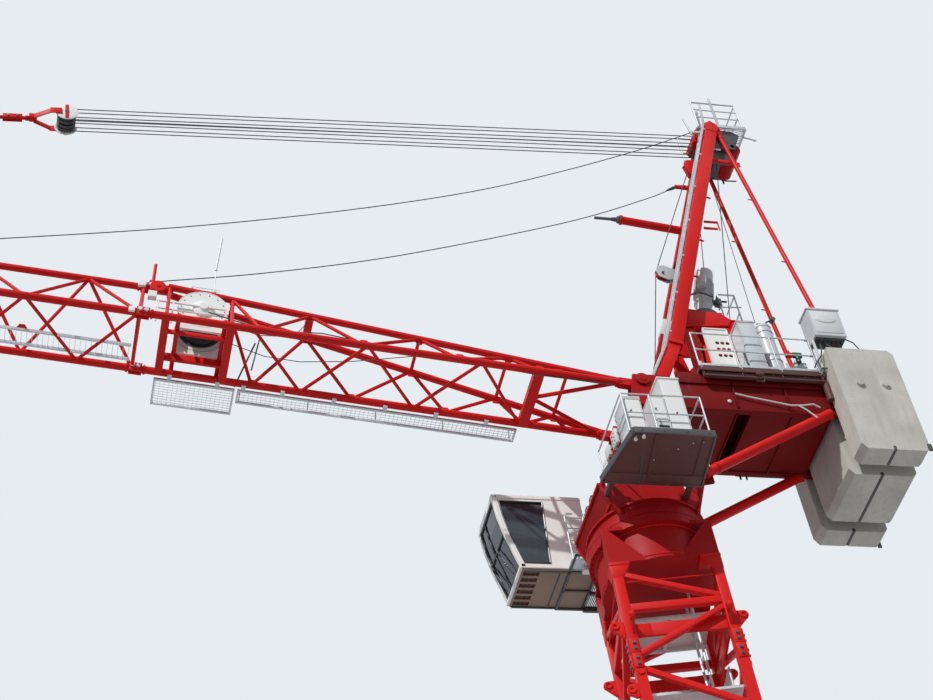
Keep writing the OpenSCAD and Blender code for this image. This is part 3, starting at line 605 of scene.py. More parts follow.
# Turret trim. The box is welded from thick plates: lips stand proud along its edges, a ring flange
# closes the skirt over the slewing ring, and discs with a keeper plate and bolts hold the pivot pins.
skirt = [hoop(0.636, 0.668, 8.745, 8.77, (0, 0, 0), 72)]
side_line = [(0.43, 8.64), (0.607, 9.04), (0.567, 9.125), (0.18, 9.925), (-0.02, 10.425)]
rear_line = [(-0.43, 8.64), (-0.465, 8.77), (-0.6, 9.155), (-0.6, 10.42)]
for side in both:
    face = side * 0.507
    for line in (side_line, rear_line):
        for (x0, z0), (x1, z1) in zip(line, line[1:]):
            skirt.append(bar((x0, face, z0), (x1, face, z1), 0.022, 0.04))
    skirt.append(bar_x(0.05, -0.56, face, 10.2, 0.018, 0.05))
    skirt.append(bar_x(0.46, -0.59, face, 9.27, 0.018, 0.03))
for x, z in ((0.52, 8.83), (0.615, 9.085), (0.37, 9.54), (0.08, 10.18)):
    skirt.append(bar_y(x, -0.5, 0.5, z, 0.035, 0.035, 0.004, (1, 0, 0)))
finished("turret_lips", skirt, deep_red_and_shade)

keepers, keeper_bolts = [], []
for side in both:
    for x, z, reach in ((-0.21, 10.715, 0.552), (-0.425, 10.675, 0.552)):
        keepers.append(solid([(0.085, 0), (0.085, 0.012), (0.06, 0.018), (0.045, 0.018), (0.04, 0.026)],
            crosswise((x, side * reach, z), side), 32))
        keeper_bolts += [((x + 0.068 * math.cos(a), side * (reach + 0.012), z + 0.068 * math.sin(a)), (0, side, 0))
            for a in (0.5, 1.6, 2.7, 3.8, 4.9, 6)]
finished("pin_keepers", keepers, deep_red_and_shade)
finished("pin_keeper_bolts", bolts(keeper_bolts, 0.008, 0.009), dark_steel_and_shade)

# Turret cable pipes. A dark pipe runs up each side of the turret near its rear edge, in two clamps, and
# bends forward at the top.
fittings = []
for side in both:
    fittings.append(pipe([(-0.3, side * 0.525, 9.22), (-0.3, side * 0.525, 9.9), (-0.26, side * 0.53, 10.05),
        (-0.26, side * 0.53, 10.3)], 0.014))
    for z in (9.35, 9.7):
        fittings.append(block((-0.325, side * 0.513 - 0.01, z), (-0.275, side * 0.513 + 0.01, z + 0.02)))
finished("turret_cable_pipes", fittings, dark_steel_and_shade)

# Cab corner posts and roof. The operator's cab is folded sheet on a bent frame: white curved posts
# stand at both front corners, with a roof rim, a rain lip and a sill that tie them together.
cab_front = [(1.185, 8.978), (1.243, 9.202), (1.305, 9.448), (1.356, 9.736), (1.384, 10.046)]
cab_near, cab_far = -0.8, -1.48


def along_front(z):
    for (x0, z0), (x1, z1) in zip(cab_front, cab_front[1:]):
        if z <= z1:
            return x0 + (x1 - x0) * (z - z0) / (z1 - z0)
    return cab_front[-1][0]


rise = [8.978 + 1.068 * k / 14 for k in range(15)]
post_outline = [(along_front(z) + 0.014, z) for z in rise]
post_outline += [(along_front(z) - 0.05, z) for z in reversed(rise)]
posts = []
for low, high in ((cab_near - 0.045, cab_near + 0.01), (cab_far - 0.01, cab_far + 0.045)):
    posts.append(plate(post_outline, "Y", low, high, 0.008))
posts += [block((1.33, cab_far - 0.008, 9.985), (1.4, cab_near + 0.008, 10.058), 0.01),
    *blocks([(0.322, cab_near - 0.02, 10.005, 1.36, cab_near + 0.01, 10.058),
    (0.322, cab_far - 0.01, 10.005, 1.36, cab_far + 0.02, 10.058),
    (0.322, cab_far - 0.005, 10.03, 0.36, cab_near + 0.005, 10.058),
    (0.62, cab_near - 0.02, 8.972, 1.2, cab_near + 0.01, 9.03),
    (0.62, cab_far - 0.01, 8.972, 1.2, cab_far + 0.02, 9.03),
    (1.165, cab_far - 0.006, 8.972, 1.215, cab_near + 0.006, 9.012)], 0.008),
    block((0.44, cab_far + 0.1, 10.046), (1.22, cab_near - 0.1, 10.07), 0.012),
    block((0.7, -1.26, 10.066), (0.98, -1.02, 10.092), 0.012),
    block((0.342, cab_near - 0.004, 8.99), (0.5, cab_near + 0.085, 8.9), 0.008)]
finished("cab_posts_and_roof", posts, cream, smooth=20)

# Cab window seals. Black rubber profiles sit round each pane, and slim mullions split the front glass
# into an upper and a lower pane and three strips.
near_pane = [(0.849, 9.048), (1.15, 9.048), (1.194, 9.213), (1.254, 9.448), (1.3, 9.726), (1.318, 9.956),
    (0.8, 9.956)]
seals = []
for wall, out in ((cab_near, 0.004), (cab_far, -0.004)):
    loop = [(x, wall + out, z) for x, z in near_pane]
    seals.append(pipe(loop + loop[:2], 0.013))
mullion_y = (cab_near + cab_far) / 2 - 0.1
for y in (cab_near - 0.055, mullion_y, cab_far + 0.055):
    seals.append(pipe([(along_front(z) + 0.002, y, z) for z in rise[1:-1]], 0.013 if y != mullion_y else 0.01))
for z in (9.03, 9.5, 9.985):
    seals.append(pipe([(along_front(z) + 0.002, cab_near - 0.05, z), (along_front(z) + 0.002, cab_far + 0.05, z)],
        0.012))
finished("cab_window_seals", seals, black, slot="cream_paint")

# Cab wipers. Thin black arms with a blade each stand on the front glass, one for each lower pane.
wipers = []
for y in (-1.02, -1.32):
    wipers.append(pipe([(along_front(9.06) + 0.02, y, 9.06), (along_front(9.2) + 0.035, y - 0.03, 9.2),
        (along_front(9.42) + 0.03, y - 0.08, 9.42)], 0.006))
    wipers.append(pipe([(along_front(z) + 0.022, y - 0.02 - (z - 9.2) * 0.3, z) for z in (9.2, 9.3, 9.42, 9.52)],
        0.007))
finished("cab_wipers", wipers, black)

# Cab underside. A beige-brown floor panel carries six air slots with tilted slats behind them, a cross
# seam and the dark rails that hang it from the access platform.
tan = painted("floor_enamel", (0.3, 0.215, 0.155), (0.24, 0.17, 0.125), 0.2, 0.5, shine=0.3)
floor_parts = [block((0.332, cab_far + 0.005, 8.95), (0.975, cab_near - 0.005, 8.977)),
    block((1.165, cab_far + 0.005, 8.95), (1.182, cab_near - 0.005, 8.977))]
slots = 6
slot_pitch = (cab_near - cab_far - 0.05) / slots
for k in range(slots + 1):
    middle = cab_far + 0.025 + k * slot_pitch
    floor_parts.append(block((0.97, max(cab_far + 0.005, middle - 0.017), 8.95),
        (1.17, min(cab_near - 0.005, middle + 0.017), 8.977)))
finished("cab_floor_panel", floor_parts, tan)
# A black sheet closes the slots from behind, painted shade for the dark inside of the floor; the cross seam and
# rails are black parts.
shade_sheet_and_rails = [block((0.972, cab_far + 0.02, 8.97), (1.168, cab_near - 0.02, 8.9775), 0)]
shade_sheet_and_rails += [block((x - 0.007, cab_far + 0.01, 8.938), (x + 0.007, cab_near - 0.01, 8.951)) for x in (0.62, 0.74)]
shade_sheet_and_rails += [block((0.335, y - 0.012, 8.935), (1.17, y + 0.012, 8.951))
    for y in (cab_far + 0.02, cab_near - 0.02)]
finished("cab_floor_rails_and_shade_sheet", shade_sheet_and_rails, black)
rust_glow = painted("slat_enamel", (0.16, 0.03, 0.018), (0.08, 0.02, 0.015), 0.2, 0.5, shine=0.2)
slats = []
for k in range(slots):
    for along in range(4):
        x = 0.995 + along * 0.048
        middle = cab_far + 0.025 + (k + 0.5) * slot_pitch
        slats.append(bar_y(x, middle - slot_pitch * 0.36, middle + slot_pitch * 0.36, 8.962, 0.016, 0.003, 0.001,
            (0.7, 0, 0.7)))
finished("cab_floor_slats", slats, rust_glow)

# Cab access platform. A chequered walkway of bearing bars lies on a dark channel frame between turret and
# cab, open to the sky between the bars, with kick boards along its outer edges.
access = blocks([(-0.06, -1.48, 8.928, -0.035, -0.505, 8.985), (0.305, -1.48, 8.928, 0.33, -0.505, 8.985),
    (-0.06, -1.48, 8.928, 0.65, -1.455, 8.985), (-0.06, -0.53, 8.928, 0.33, -0.505, 8.985),
    (0.625, -1.48, 8.928, 0.65, -0.505, 8.949), (0.3, -0.53, 8.928, 0.65, -0.505, 8.949),
    (0.3, -1.155, 8.928, 0.65, -1.125, 8.949), (0.3, -0.825, 8.928, 0.65, -0.795, 8.949)])
access += [block((-0.06, y - 0.018, 8.885), (0.33, y + 0.018, 8.928)) for y in (-1.44, -1.14, -0.84, -0.54)]
access += [block((-0.04 + 0.021 * k, -1.47, 8.955), (-0.036 + 0.021 * k, -0.51, 8.978), 0) for k in range(18)]
# The galvanised frame and bearing bars wear the dark steel look as painted shade.
finished("cab_access_frame", access, dark_steel_and_shade, "cab_access", slot="galvanised_steel")

# Cab interior. An upholstered seat on a pedestal stands between two side consoles with levers, in front
# of a rear wall with a shelf and a screen on an arm.
inside = [block((0.62, -1.27, 9.02), (0.86, -1.01, 9.16), 0.02), rod_z(0.74, -1.14, 9.16, 9.28, 0.05, 24),
    block((0.56, -1.33, 9.28), (0.92, -0.95, 9.36), 0.035), block((0.52, -1.32, 9.34), (0.61, -0.96, 9.78), 0.035),
    block((0.53, -1.24, 9.8), (0.6, -1.04, 9.93), 0.03)]
for y in (-1.4, -0.9):
    inside += [block((0.62, y - 0.05, 9.1), (1, y + 0.05, 9.46), 0.02),
        rod((0.94, y, 9.46), (0.96, y, 9.56), 0.01, 12), turned([(0.0001, -0.02), (0.014, -0.016), (0.02, 0),
        (0.014, 0.016), (0.0001, 0.02)], (0.962, y, 9.575), 16)]
inside += [pipe([(1.08, -1.4, 9.3), (1.14, -1.38, 9.5), (1.16, -1.34, 9.62)], 0.01),
    block((1.15, -1.42, 9.6), (1.17, -1.24, 9.74), 0.006)]
finished("cab_seat_and_controls", inside, black)
inside_pale = [block((0.37, -1.43, 9.1), (0.44, -0.85, 9.16), 0.01), bar_x(0.8, 1.1, -0.86, 9.62, 0.02, 0.02),
    block((0.372, -1.4, 9.3), (0.4, -0.9, 9.9), 0.01)]
finished("cab_inner_rails", inside_pale, cabinet_grey)

# Cab rear rails and steps. Bent galvanised tubes guard the way round the back of the cab, with a gate
# of two hoops and rungs that lead up from the turret.
rails = []
for y in (-1.42, -1.1, -0.86, -0.54):
    rails.append(bent_pipe([(0.1, 8.98), (0.1, 9.53), (0.06, 9.58), (-0.04, 9.58)], y, 0.011))
for z in (9.24, 9.42, 9.56):
    rails.append(pipe([(0.1, -1.42, z), (0.1, -0.54, z)], 0.009))
for y in (-0.8, -0.62):
    rails.append(bent_pipe([(0.285, 8.98), (0.285, 9.86), (0.255, 9.93), (0.18, 9.93), (0.15, 9.86), (0.15, 9.2)],
        y, 0.012))
rails += [rod_y(0.285, -0.8, -0.62, 9.08 + 0.14 * k, 0.008, 8) for k in range(6)]
for x in (0.4, 0.62):
    rails.append(bent_pipe([(x, 8.96), (x, 9.62), (x - 0.03, 9.68), (x - 0.1, 9.68)], -0.66, 0.011))
rails += [rod_x(0.4, 0.62, -0.66, z, 0.008, 10) for z in (9.1, 9.28, 9.46, 9.62)]
rails += [block((0.34, -0.79, 8.95), (0.66, -0.6, 8.965), 0.002),
    rod((0.62, -0.66, 9.62), (0.4, -0.66, 9.15), 0.008, 10)]
rails += [bent_pipe([(0.35, 9.3), (0.3, 9.3), (0.3, 9.75), (0.35, 9.75)], y, 0.01) for y in (-1.36, -1.24)]
finished("cab_rear_rails", rails, zinc)

# Side platform. A dusty primed sheet with a seam bar and a cross beam below lies in a frame of folded
# channels, and two outriggers carry it from the turret. Short work lamps hang under the front corner.
rim = [(0.53, 1.53), (-0.375, 1.53), (-0.455, 0.745), (0.685, 0.745)]
edges = []
for (x0, y0), (x1, y1) in zip(rim, rim[1:] + rim[:1]):
    edges.append(bar((x0, y0, 8.922), (x1, y1, 8.922), 0.024, 0.08, 0.003, (0, 1, 0)
        if abs(x1 - x0) > 0.5 else (1, 0, 0)))
edges += [block((0.43 - 0.25 * k, 1.54, 8.905), (0.46 - 0.25 * k, 1.548, 8.945)) for k in range(4)]
# The galvanised edge channels wear the dark steel look as painted shade.
finished("side_platform_edges", edges, dark_steel_and_shade, slot="galvanised_steel")
sheet = [plate(rim, "Z", 8.896, 8.953, 0), bar((0.28, 1.51, 8.888), (0.18, 0.76, 8.888), 0.024, 0.022, 0.003,
    (1, 0, 0)), bar((-0.25, 1.51, 8.893), (-0.33, 0.76, 8.893), 0.016, 0.012, 0.002, (1, 0, 0)),
    block((-0.43, 0.76, 8.884), (0.66, 0.9, 8.898))]
sheet += [block((x - 0.03, 0.5, 8.9), (x + 0.03, 0.76, 8.953)) for x in (-0.345, 0.555)]
finished("side_platform_sheet", sheet, primer, "side_platform")
lamps = []
for x, y in ((0.49, 1.45), (0.41, 1.49)):
    place = aimed((x, y, 8.925), (0.25, 0.25, -1))
    lamps.append(turned([(0.0001, 0), (0.01, 0), (0.016, 0.01), (0.016, 0.085), (0.02, 0.09), (0.02, 0.095),
        (0.0001, 0.092)], place, 20))
lamps += [turned([(0.0001, 0), (0.008, 0), (0.007, 0.006), (0.0001, 0.007)], aimed((x, y, 8.895), (0, 0, -1)), 16)
    for x, y in ((-0.16, 1.4), (-0.27, 1.42), (0.2, 1.12), (0.27, 0.8), (-0.02, 1.3))]
finished("platform_lamps", lamps, cabinet_grey)

# Switch cabinet fittings. Each cabinet has a door with a turned edge, hinges, a lock and a rain roof;
# the grey one stands on short feet with cable glands below, the middle one has a black louvre.
doors = blocks([(0.325, 1.115, 9.495, 0.525, 1.445, 9.512), (0.345, 1.441, 8.985, 0.505, 1.449, 9.465),
    (-0.262, 1.05, 9.955, 0.002, 1.31, 9.975), (-0.235, 1.301, 8.985, -0.025, 1.309, 9.92),
    (-0.006, 1.075, 9.655, 0.156, 1.33, 9.672), (0.01, 1.321, 9.27, 0.135, 1.328, 9.62)], 0.006)
doors += [block((-0.255, 1.12, z), (-0.262, 1.16, z + 0.05), 0) for z in (9.1, 9.4, 9.7)]
doors += [turned([(0.0001, 0), (0.05, 0), (0.05, 0.16), (0.042, 0.2), (0.024, 0.225), (0.0001, 0.23)],
    (0.075, 0.98, 9.38), 28), rod_z(0.075, 0.98, 8.96, 9.38, 0.022, 20)]
finished("cabinet_doors", doors, cream, slot="cabinet_paint", smooth=20)
details = [block((0.012, 1.319, 9.03), (0.132, 1.326, 9.22), 0.004)]
details += [block((0.018, 1.324, 9.045 + 0.022 * k), (0.126, 1.334, 9.053 + 0.022 * k), 0) for k in range(8)]
details += [rod_y(x, 1.445, 1.462, 9.28, 0.011, 12) for x in (0.47, -0.05)]
details += [rod_y(0.12, 1.325, 1.342, 9.45, 0.01, 12)]
details += [block((0.519, 1.13, z), (0.527, 1.142, z + 0.045), 0) for z in (9.05, 9.22, 9.4)]
details += [pipe([(0.36 + 0.045 * k, 1.3 + 0.02 * k, 8.975), (0.36 + 0.045 * k, 1.3, 8.93),
    (0.34, 1.2 - 0.02 * k, 8.905), (0.3, 0.95, 8.885), (0.27, 0.78, 8.88)], 0.009) for k in range(3)]
finished("cabinet_fittings", details, dark_steel_and_shade)
panel = [block((0.522, 1.15, 9.02), (0.53, 1.41, 9.46), 0.005)]
panel += [block((0.336 + 0.155 * i, 1.14 + 0.24 * j, 8.956), (0.366 + 0.155 * i, 1.17 + 0.24 * j, 8.985), 0.002)
    for i in (0, 1) for j in (0, 1)]
finished("cabinet_side_panel", panel, machine_grey, slot="cabinet_paint")

# Switch boxes on the rails. Small enclosures hang on the front rail of the side platform, with glands and
# two cables on them and kick boards along the platform's edges.
boxes = [*blocks([(0.545, 1.02, 9.1, 0.585, 1.16, 9.3), (0.545, 0.78, 9.16, 0.585, 0.9, 9.3),
    (0.548, 0.62, 9.02, 0.578, 0.74, 9.24)], 0.006), *blocks([(0.55, 0.58, 8.96, 0.56, 1.46, 9.03),
    (-0.352, 0.58, 8.96, -0.342, 1.46, 9.03), (0.01, 1.478, 8.962, 0.3, 1.486, 9.02)], 0.002)]
finished("rail_switch_boxes", boxes, cabinet_grey)
marks = [rod_x(0.58, 0.59, 1.09 + 0.03 * a, 9.15 + 0.05 * b, 0.009, 10) for a in both for b in range(3)]
marks += [pipe([(0.56, 1.09, 9.1), (0.57, 1.08, 9), (0.54, 1.02, 8.965)], 0.007),
    pipe([(0.56, 0.84, 9.16), (0.57, 0.82, 9.05), (0.54, 0.75, 8.965)], 0.007)]
finished("switch_box_glands", marks, black)

# Counter-jib box. Two side plates reach from the turret to the ballast; a bottom sheet with welded
# flanges, cross ribs and one open gap across its width closes them from below.
girder_low, girder_high, girder_rear = 10.3, 10.725, -3.42
side_outline = [(-0.605, girder_low), (girder_rear, girder_low), (girder_rear, girder_high), (-0.605, girder_high)]
box_parts = [plate(side_outline, "Y", low, high, 0.002) for low, high in ((0.495, 0.535), (-0.535, -0.495))]
for front, rear in ((-0.605, -1.3), (-1.45, -2.46)):
    box_parts.append(block((rear, -0.496, girder_low + 0.002), (front, 0.496, girder_low + 0.014), 0))
box_parts += [block((-2.42, -0.5, girder_high - 0.08), (-0.605, 0.5, girder_high - 0.05), 0.002)]
box_parts += [block((x, -0.496, girder_low - 0.022), (x + 0.014, 0.496, girder_low + 0.05))
    for x in (-0.64, -1.3, -1.464, -1.98, -2.46)]
box_parts += [bar_x(-0.605, girder_rear, y, girder_low - 0.006, 0.075, 0.012) for y in (-0.515, 0.515)]
box_parts += [block((x, side * 0.535, girder_low + 0.02), (x + 0.012, side * 0.565, girder_high + 0.02))
    for side in both for x in (-1.3, -1.95)]
box_parts += [block((-2.44, side * 0.547, girder_high - 0.03), (-0.62, side * 0.556, 10.862), 0.002)
    for side in both]
box_parts += [upright([(-0.6, 9.16), (-0.76, 9.2), (-0.76, 9.34), (-0.6, 9.48)], side * 0.47, 0.015)
    for side in both]
# The box wears the darkest red, painted shade for its shaded sides and underside.
finished("counter_jib_box", box_parts, painted_shade_red, "counter_jib")

# Counter-jib braces. Two thick tubes with squared ends and pin eyes rise from the turret's rear corners
# to gussets under the side plates, just ahead of the ballast.
braces = []
for side in both:
    foot, head = (-0.7, side * 0.54, 9.303), (-2.43, side * 0.54, 10.314)
    braces += [rod(foot, head, 0.06, 28), rod_y(-0.66, side * 0.44, side * 0.62, 9.28, 0.038, 24),
        turned([(0.062, 0), (0.068, 0.004), (0.068, 0.03), (0.062, 0.034)],
        aimed((-0.79, side * 0.54, 9.356), (-1.73, 0, 1.011)), 28),
        bar((-0.645, side * 0.54, 9.271), (-0.72, side * 0.54, 9.315), 0.115, 0.1, 0.02),
        upright([(-2.2, 10.3), (-2.46, 10.3), (-2.46, 10.24), (-2.36, 10.22), (-2.22, 10.25)], side * 0.54, 0.012)]
finished("counter_jib_braces", braces, red, "counter_braces")

# Counter-jib fittings. A grey cable tray with two feet runs under the far edge, a pale cable crosses the
# near side to the ballast with a branch that hangs down, and a round cover and a small box stay close by.
tray = [bar_x(-1.6, -2.46, -0.558, 10.305, 0.03, 0.016)]
for x in (-1.66, -2.34):
    tray += [block((x - 0.012, -0.575, 10.25), (x + 0.012, -0.56, 10.31)),
        block((x - 0.09, -0.575, 10.25), (x - 0.07, -0.56, 10.31))]
# The galvanised tray wears the dark steel look as painted shade.
finished("counter_jib_tray", tray, dark_steel_and_shade, slot="galvanised_steel")
cable = [pipe([(-1.3, 0.562, 10.545), (-1.45, 0.566, 10.5), (-1.72, 0.57, 10.44), (-1.95, 0.575, 10.385),
    (-2.09, 0.6, 10.37), (-2.22, 0.6, 10.4), (-2.3, 0.59, 10.36)], 0.01),
    pipe([(-2.02, 0.61, 10.36), (-2.1, 0.62, 10.28), (-2.2, 0.62, 10.16)], 0.009),
    solid([(0.024, 0), (0.024, 0.012), (0.012, 0.02)], crosswise((-1.21, 0.54, 10.43)), 20),
    block((-0.7, 0.575, 9.3), (-0.64, 0.6, 9.42), 0.006)]
finished("counter_jib_cable", cable, cabinet_grey)

# Deck edge. A bent grey channel carries the rail posts along both long sides, with clamp brackets below
# each post, short toe boards and the folded ribs that stiffen the deck sheet from below.
edge = []
for side in both:
    y = side * 0.648
    edge += [block((-2.49, y - 0.012, 10.895), (-0.91, y + 0.01, 10.925)),
        block((-2.46, side * 0.6 - 0.004, 10.926), (-0.94, side * 0.6 + 0.004, 10.985), 0)]
    for x in (-0.93, -1.43, -1.93, -2.43):
        edge += [block((x - 0.022, y - 0.005, 10.88), (x + 0.022, y + 0.014, 10.955)),
            rod_y(x, y, y + side * 0.03, 10.85, 0.008, 10)]
    edge += [rod_x(x, x + 0.03, side * 0.625, z, 0.017, 12) for x in (-0.96, -1.46, -1.96, -2.42)
        for z in (11.19, 11.46)]
finished("deck_edge_channels", edge, zinc)
under = [block((x, -0.63, 10.8), (x + 0.05, 0.63, 10.864), 0.004) for x in (-1.05, -1.45, -1.85, -2.25)]
for side in both:
    under += blocks([(-2.48, side * 0.645 - 0.006, 10.825, -0.92, side * 0.645 + 0.006, 10.896),
        (-2.46, side * 0.618 - 0.006, 10.745, -0.94, side * 0.618 + 0.006, 10.83),
        (-2.46, min(side * 0.6, side * 0.65), 10.74, -0.94, max(side * 0.6, side * 0.65), 10.75)])
    under += [block((x, side * 0.632 - 0.014, 10.75), (x + 0.012, side * 0.632 + 0.014, 10.89))
        for x in (-0.96, -1.44, -1.94, -2.44)]
under += [rod_z(-2.475, 0.6, 10.48, 10.76, 0.045, 20)]
under += [pipe([(-1.6, 0.6, 10.85), (-1.62, 0.63, 10.8), (-1.7, 0.64, 10.76), (-1.68, 0.63, 10.7),
    (-1.6, 0.6, 10.74)], 0.013), block((-1.7, 0.6, 10.79), (-1.6, 0.66, 10.85), 0.008)]
finished("deck_ribs", under, primer)

# Ballast fittings. Steel straps run along the groove under each slab, eyes for lifting stand on top, brackets
# clamp the outer slabs at two corners, and pale caps close the ends of the hanging bars.
straps = [block((-2.95, low + 0.004, 9.505), (-2.89, high - 0.004, 9.555), 0.002)
    for low, high in ((-0.838, -0.572), (-0.404, 0.404), (0.572, 0.838))]
for y in (-0.705, -0.27, 0, 0.27, 0.705):
    for x in (-2.72, -3.12):
        straps.append(pipe([(x, y - 0.03, 11.11), (x, y - 0.03, 11.17), (x, y, 11.195), (x, y + 0.03, 11.17),
            (x, y + 0.03, 11.11)], 0.009))
for side in both:
    straps += [block((-3.36, side * 0.845 - 0.01, 9.5), (-3.31, side * 0.845 + 0.01, 9.6)),
        block((-2.6, side * 0.62 - 0.03, 11.05), (-2.48, side * 0.62 + 0.03, 11.15))]
finished("ballast_straps", straps, dark_steel_and_shade)
caps = [turned([(0.0001, 0), (0.046, 0), (0.044, 0.033), (0.0001, 0.035)],
    crosswise((x, side * 0.839, 10.545), side), 28) for side in both for x in (-2.76, -3.08)]
finished("ballast_bar_caps", caps, concrete)

# Luffing winch details. Rope lies in coils on the drum between thick rims, and a dark gearbox ring with
# its bolts sits on the upper end of the red frame.
deck_top = 10.92
coils = [(0.196, -0.205)]
rope_width, rounds = 0.013, 31
for k in range(rounds):
    coils += [(0.2005, -0.2015 + rope_width * k), (0.2115, -0.195 + rope_width * k)]
coils += [(0.2005, 0.2015), (0.196, 0.205)]
drum_x, drum_z = -1.48, 11.555
on_drum = crosswise((drum_x, 0, drum_z))
finished("luffing_rope_coils", [turned(coils, on_drum, 56)], strand)
rims = [turned([(0.14, y), (0.275, y), (0.282, y + 0.006), (0.275, y + 0.012), (0.14, y + 0.012)], on_drum, 56)
    for y in (-0.222, 0.21)]
rims += [hoop(0.05, 0.197, -0.205, 0.205, on_drum, 56), solid([(0.07, 0.255), (0.07, 0.275), (0.055, 0.285)],
    on_drum, 32), solid([(0.09, -0.285), (0.09, -0.262), (0.12, -0.255)], on_drum, 32),
    block((-1.66, -0.225, 12.25), (-1.24, 0.225, 12.305)), rod_y(drum_x, -0.29, 0.29, drum_z, 0.05, 28),
    block((-1.12, -0.3, 10.918), (-1.06, 0.3, 10.945)), block((-1.86, -0.3, 10.918), (-1.79, 0.3, 10.945))]
for side in both:
    low, high = side * 0.24 - 0.015, side * 0.24 + 0.015
    rims += [*[plate(outline, "Y", low, high) for outline in ([(-1.05, 11.95), (-1.1, 12.24), (-1.2, 12.31),
        (-1.62, 12.26), (-1.86, 12.05), (-1.6, 11.99), (-1.3, 11.97)],
        [(-1.06, deck_top), (-1.2, deck_top), (-1.26, 11.6), (-1.2, 12), (-1.05, 12)],
        [(-1.72, deck_top), (-1.86, deck_top), (-1.84, 11.5), (-1.7, 12.03), (-1.6, 12), (-1.7, 11.5)],
        [(-1.2, 11.3), (-1.76, 11.3), (-1.74, 11.62), (-1.56, 11.76), (-1.4, 11.76), (-1.22, 11.62)])],
        bar((-1.05, side * 0.262, 11.97), (-1.86, side * 0.262, 12.055), 0.03, 0.02)]
finished("luffing_winch_frame", rims, red, "luffing_winch")
gear = [solid([(0.205, 12.315), (0.215, 12.33), (0.215, 12.37), (0.19, 12.39), (0.19, 12.42), (0.15, 12.435)],
    (-1.5, 0, 0), 48)]
finished("luffing_gearbox_ring", gear, dark_steel_and_shade)
ring_bolts = [((-1.5 + 0.2 * math.cos(a), 0.2 * math.sin(a), 12.37), (0, 0, 1)) for a in circle(16)]
finished("luffing_gearbox_bolts", bolts(ring_bolts, 0.011, 0.014), oiled)

# Luffing motor. A pale electric motor leans back on its gearbox: bell housing, stator barrel with cooling
# fins, end bell with a fan cowl, terminal box and brake lever at the side.
motor_axis = aimed((-1.515, 0, 12.43), (-0.24, 0, 1), (0, 1, 0))
barrel = solid([(0.135, 0), (0.135, 0.02), (0.112, 0.03), (0.1, 0.07), (0.1, 0.24), (0.118, 0.255), (0.118, 0.28),
    (0.104, 0.29), (0.104, 0.36), (0.112, 0.372), (0.112, 0.66), (0.122, 0.672), (0.124, 0.8), (0.116, 0.86),
    (0.09, 0.895), (0.05, 0.905)], motor_axis, 48)
fins = repeated(block((0.108, -0.0025, 0.38), (0.13, 0.0025, 0.655), 0.001),
    [motor_axis @ Matrix.Rotation(math.tau * k / 30, 4, "Z") for k in range(30)])
side_units = placed([block((-0.055, 0.11, 0.44), (0.055, 0.21, 0.6), 0.01),
    block((-0.045, 0.205, 0.455), (0.045, 0.222, 0.585), 0.006)],
    motor_axis @ Matrix.Rotation(math.radians(-25), 4, "Z"))
finished("luffing_motor", [barrel, *fins, *side_units], machine_grey, "winch_drive", smooth=25)
fan = [hoop(0.02 + 0.021 * k, 0.028 + 0.021 * k, 0.9 - 0.003 * k * k, 0.911 - 0.003 * k * k, motor_axis, 40)
    for k in range(4)]
brake = placed([rod((-0.17, 0, 0.34), (-0.09, 0, 0.36), 0.035, 24),
    block((-0.22, -0.035, 0.3), (-0.15, 0.035, 0.42), 0.008), rod((-0.22, 0, 0.4), (-0.3, 0, 0.42), 0.014, 12)],
    motor_axis)
hoses = [pipe([(-1.72, 0.03, 12.86), (-1.66, 0.13, 12.7), (-1.55, 0.18, 12.69), (-1.45, 0.19, 12.7),
    (-1.33, 0.2, 12.63), (-1.22, 0.24, 12.5), (-1.18, 0.3, 12.3)], 0.013),
    pipe([(-1.76, 0.05, 12.8), (-1.72, 0.16, 12.6), (-1.7, 0.22, 12.45), (-1.62, 0.26, 12.32)], 0.01)]
finished("luffing_motor_fittings", fan + brake + hoses, black)

# Rope guard beside the winch. A white sheet with nine holes is screwed to two feet; a red switch box sits
# on its rear corner.
guard = block((-1.6, 0.285, 11.25), (-1.29, 0.3, 11.92))
drills = [rod_y(-1.43 - 0.066 * i + 0.004 * j, 0.2, 0.4, 11.675 - 0.108 * j, 0.028, 20) for i in range(3)
    for j in range(3)]
for drill in drills:
    cut = guard.modifiers.new("hole", "BOOLEAN")
    cut.operation = "DIFFERENCE"
    cut.object = drill
    cut.solver = "EXACT"
    bpy.context.view_layer.objects.active = guard
    bpy.ops.object.modifier_apply(modifier="hole")
    bpy.data.objects.remove(drill)
sheet = [guard, *blocks([(-1.6, 0.27, 11.905, -1.29, 0.31, 11.925), (-1.605, 0.27, 11.25, -1.59, 0.31, 11.92),
    (-1.3, 0.27, 11.25, -1.285, 0.31, 11.92)]), bar_z(-1.33, 0.3, deck_top, 11.26, 0.03, 0.03),
    bar_z(-1.56, 0.3, deck_top, 11.26, 0.03, 0.03)]
finished("winch_guard", sheet, cream, smooth=20)
red_box = [block((-1.94, 0.22, 11.885), (-1.68, 0.36, 12.02), 0.008),
    block((-1.955, 0.21, 12.015), (-1.665, 0.37, 12.03), 0.004)]
finished("red_switch_box", red_box, red)
stand = [bar_z(-1.9, 0.29, deck_top, 11.89, 0.03, 0.03), block((-1.935, 0.353, 11.865), (-1.685, 0.363, 11.885)),
    plate([(-1.6, 11.3), (-1.76, 11.3), (-1.7, 10.93), (-1.62, 10.93)], "Y", 0.5, 0.53)]
stand += [pipe([(-1.72, 0.52, 11.3), (-1.78, 0.54, 11.22), (-1.8, 0.55, 11.05), (-1.86, 0.55, 10.95)], 0.012)]
finished("deck_stands", stand, dark_steel_and_shade)

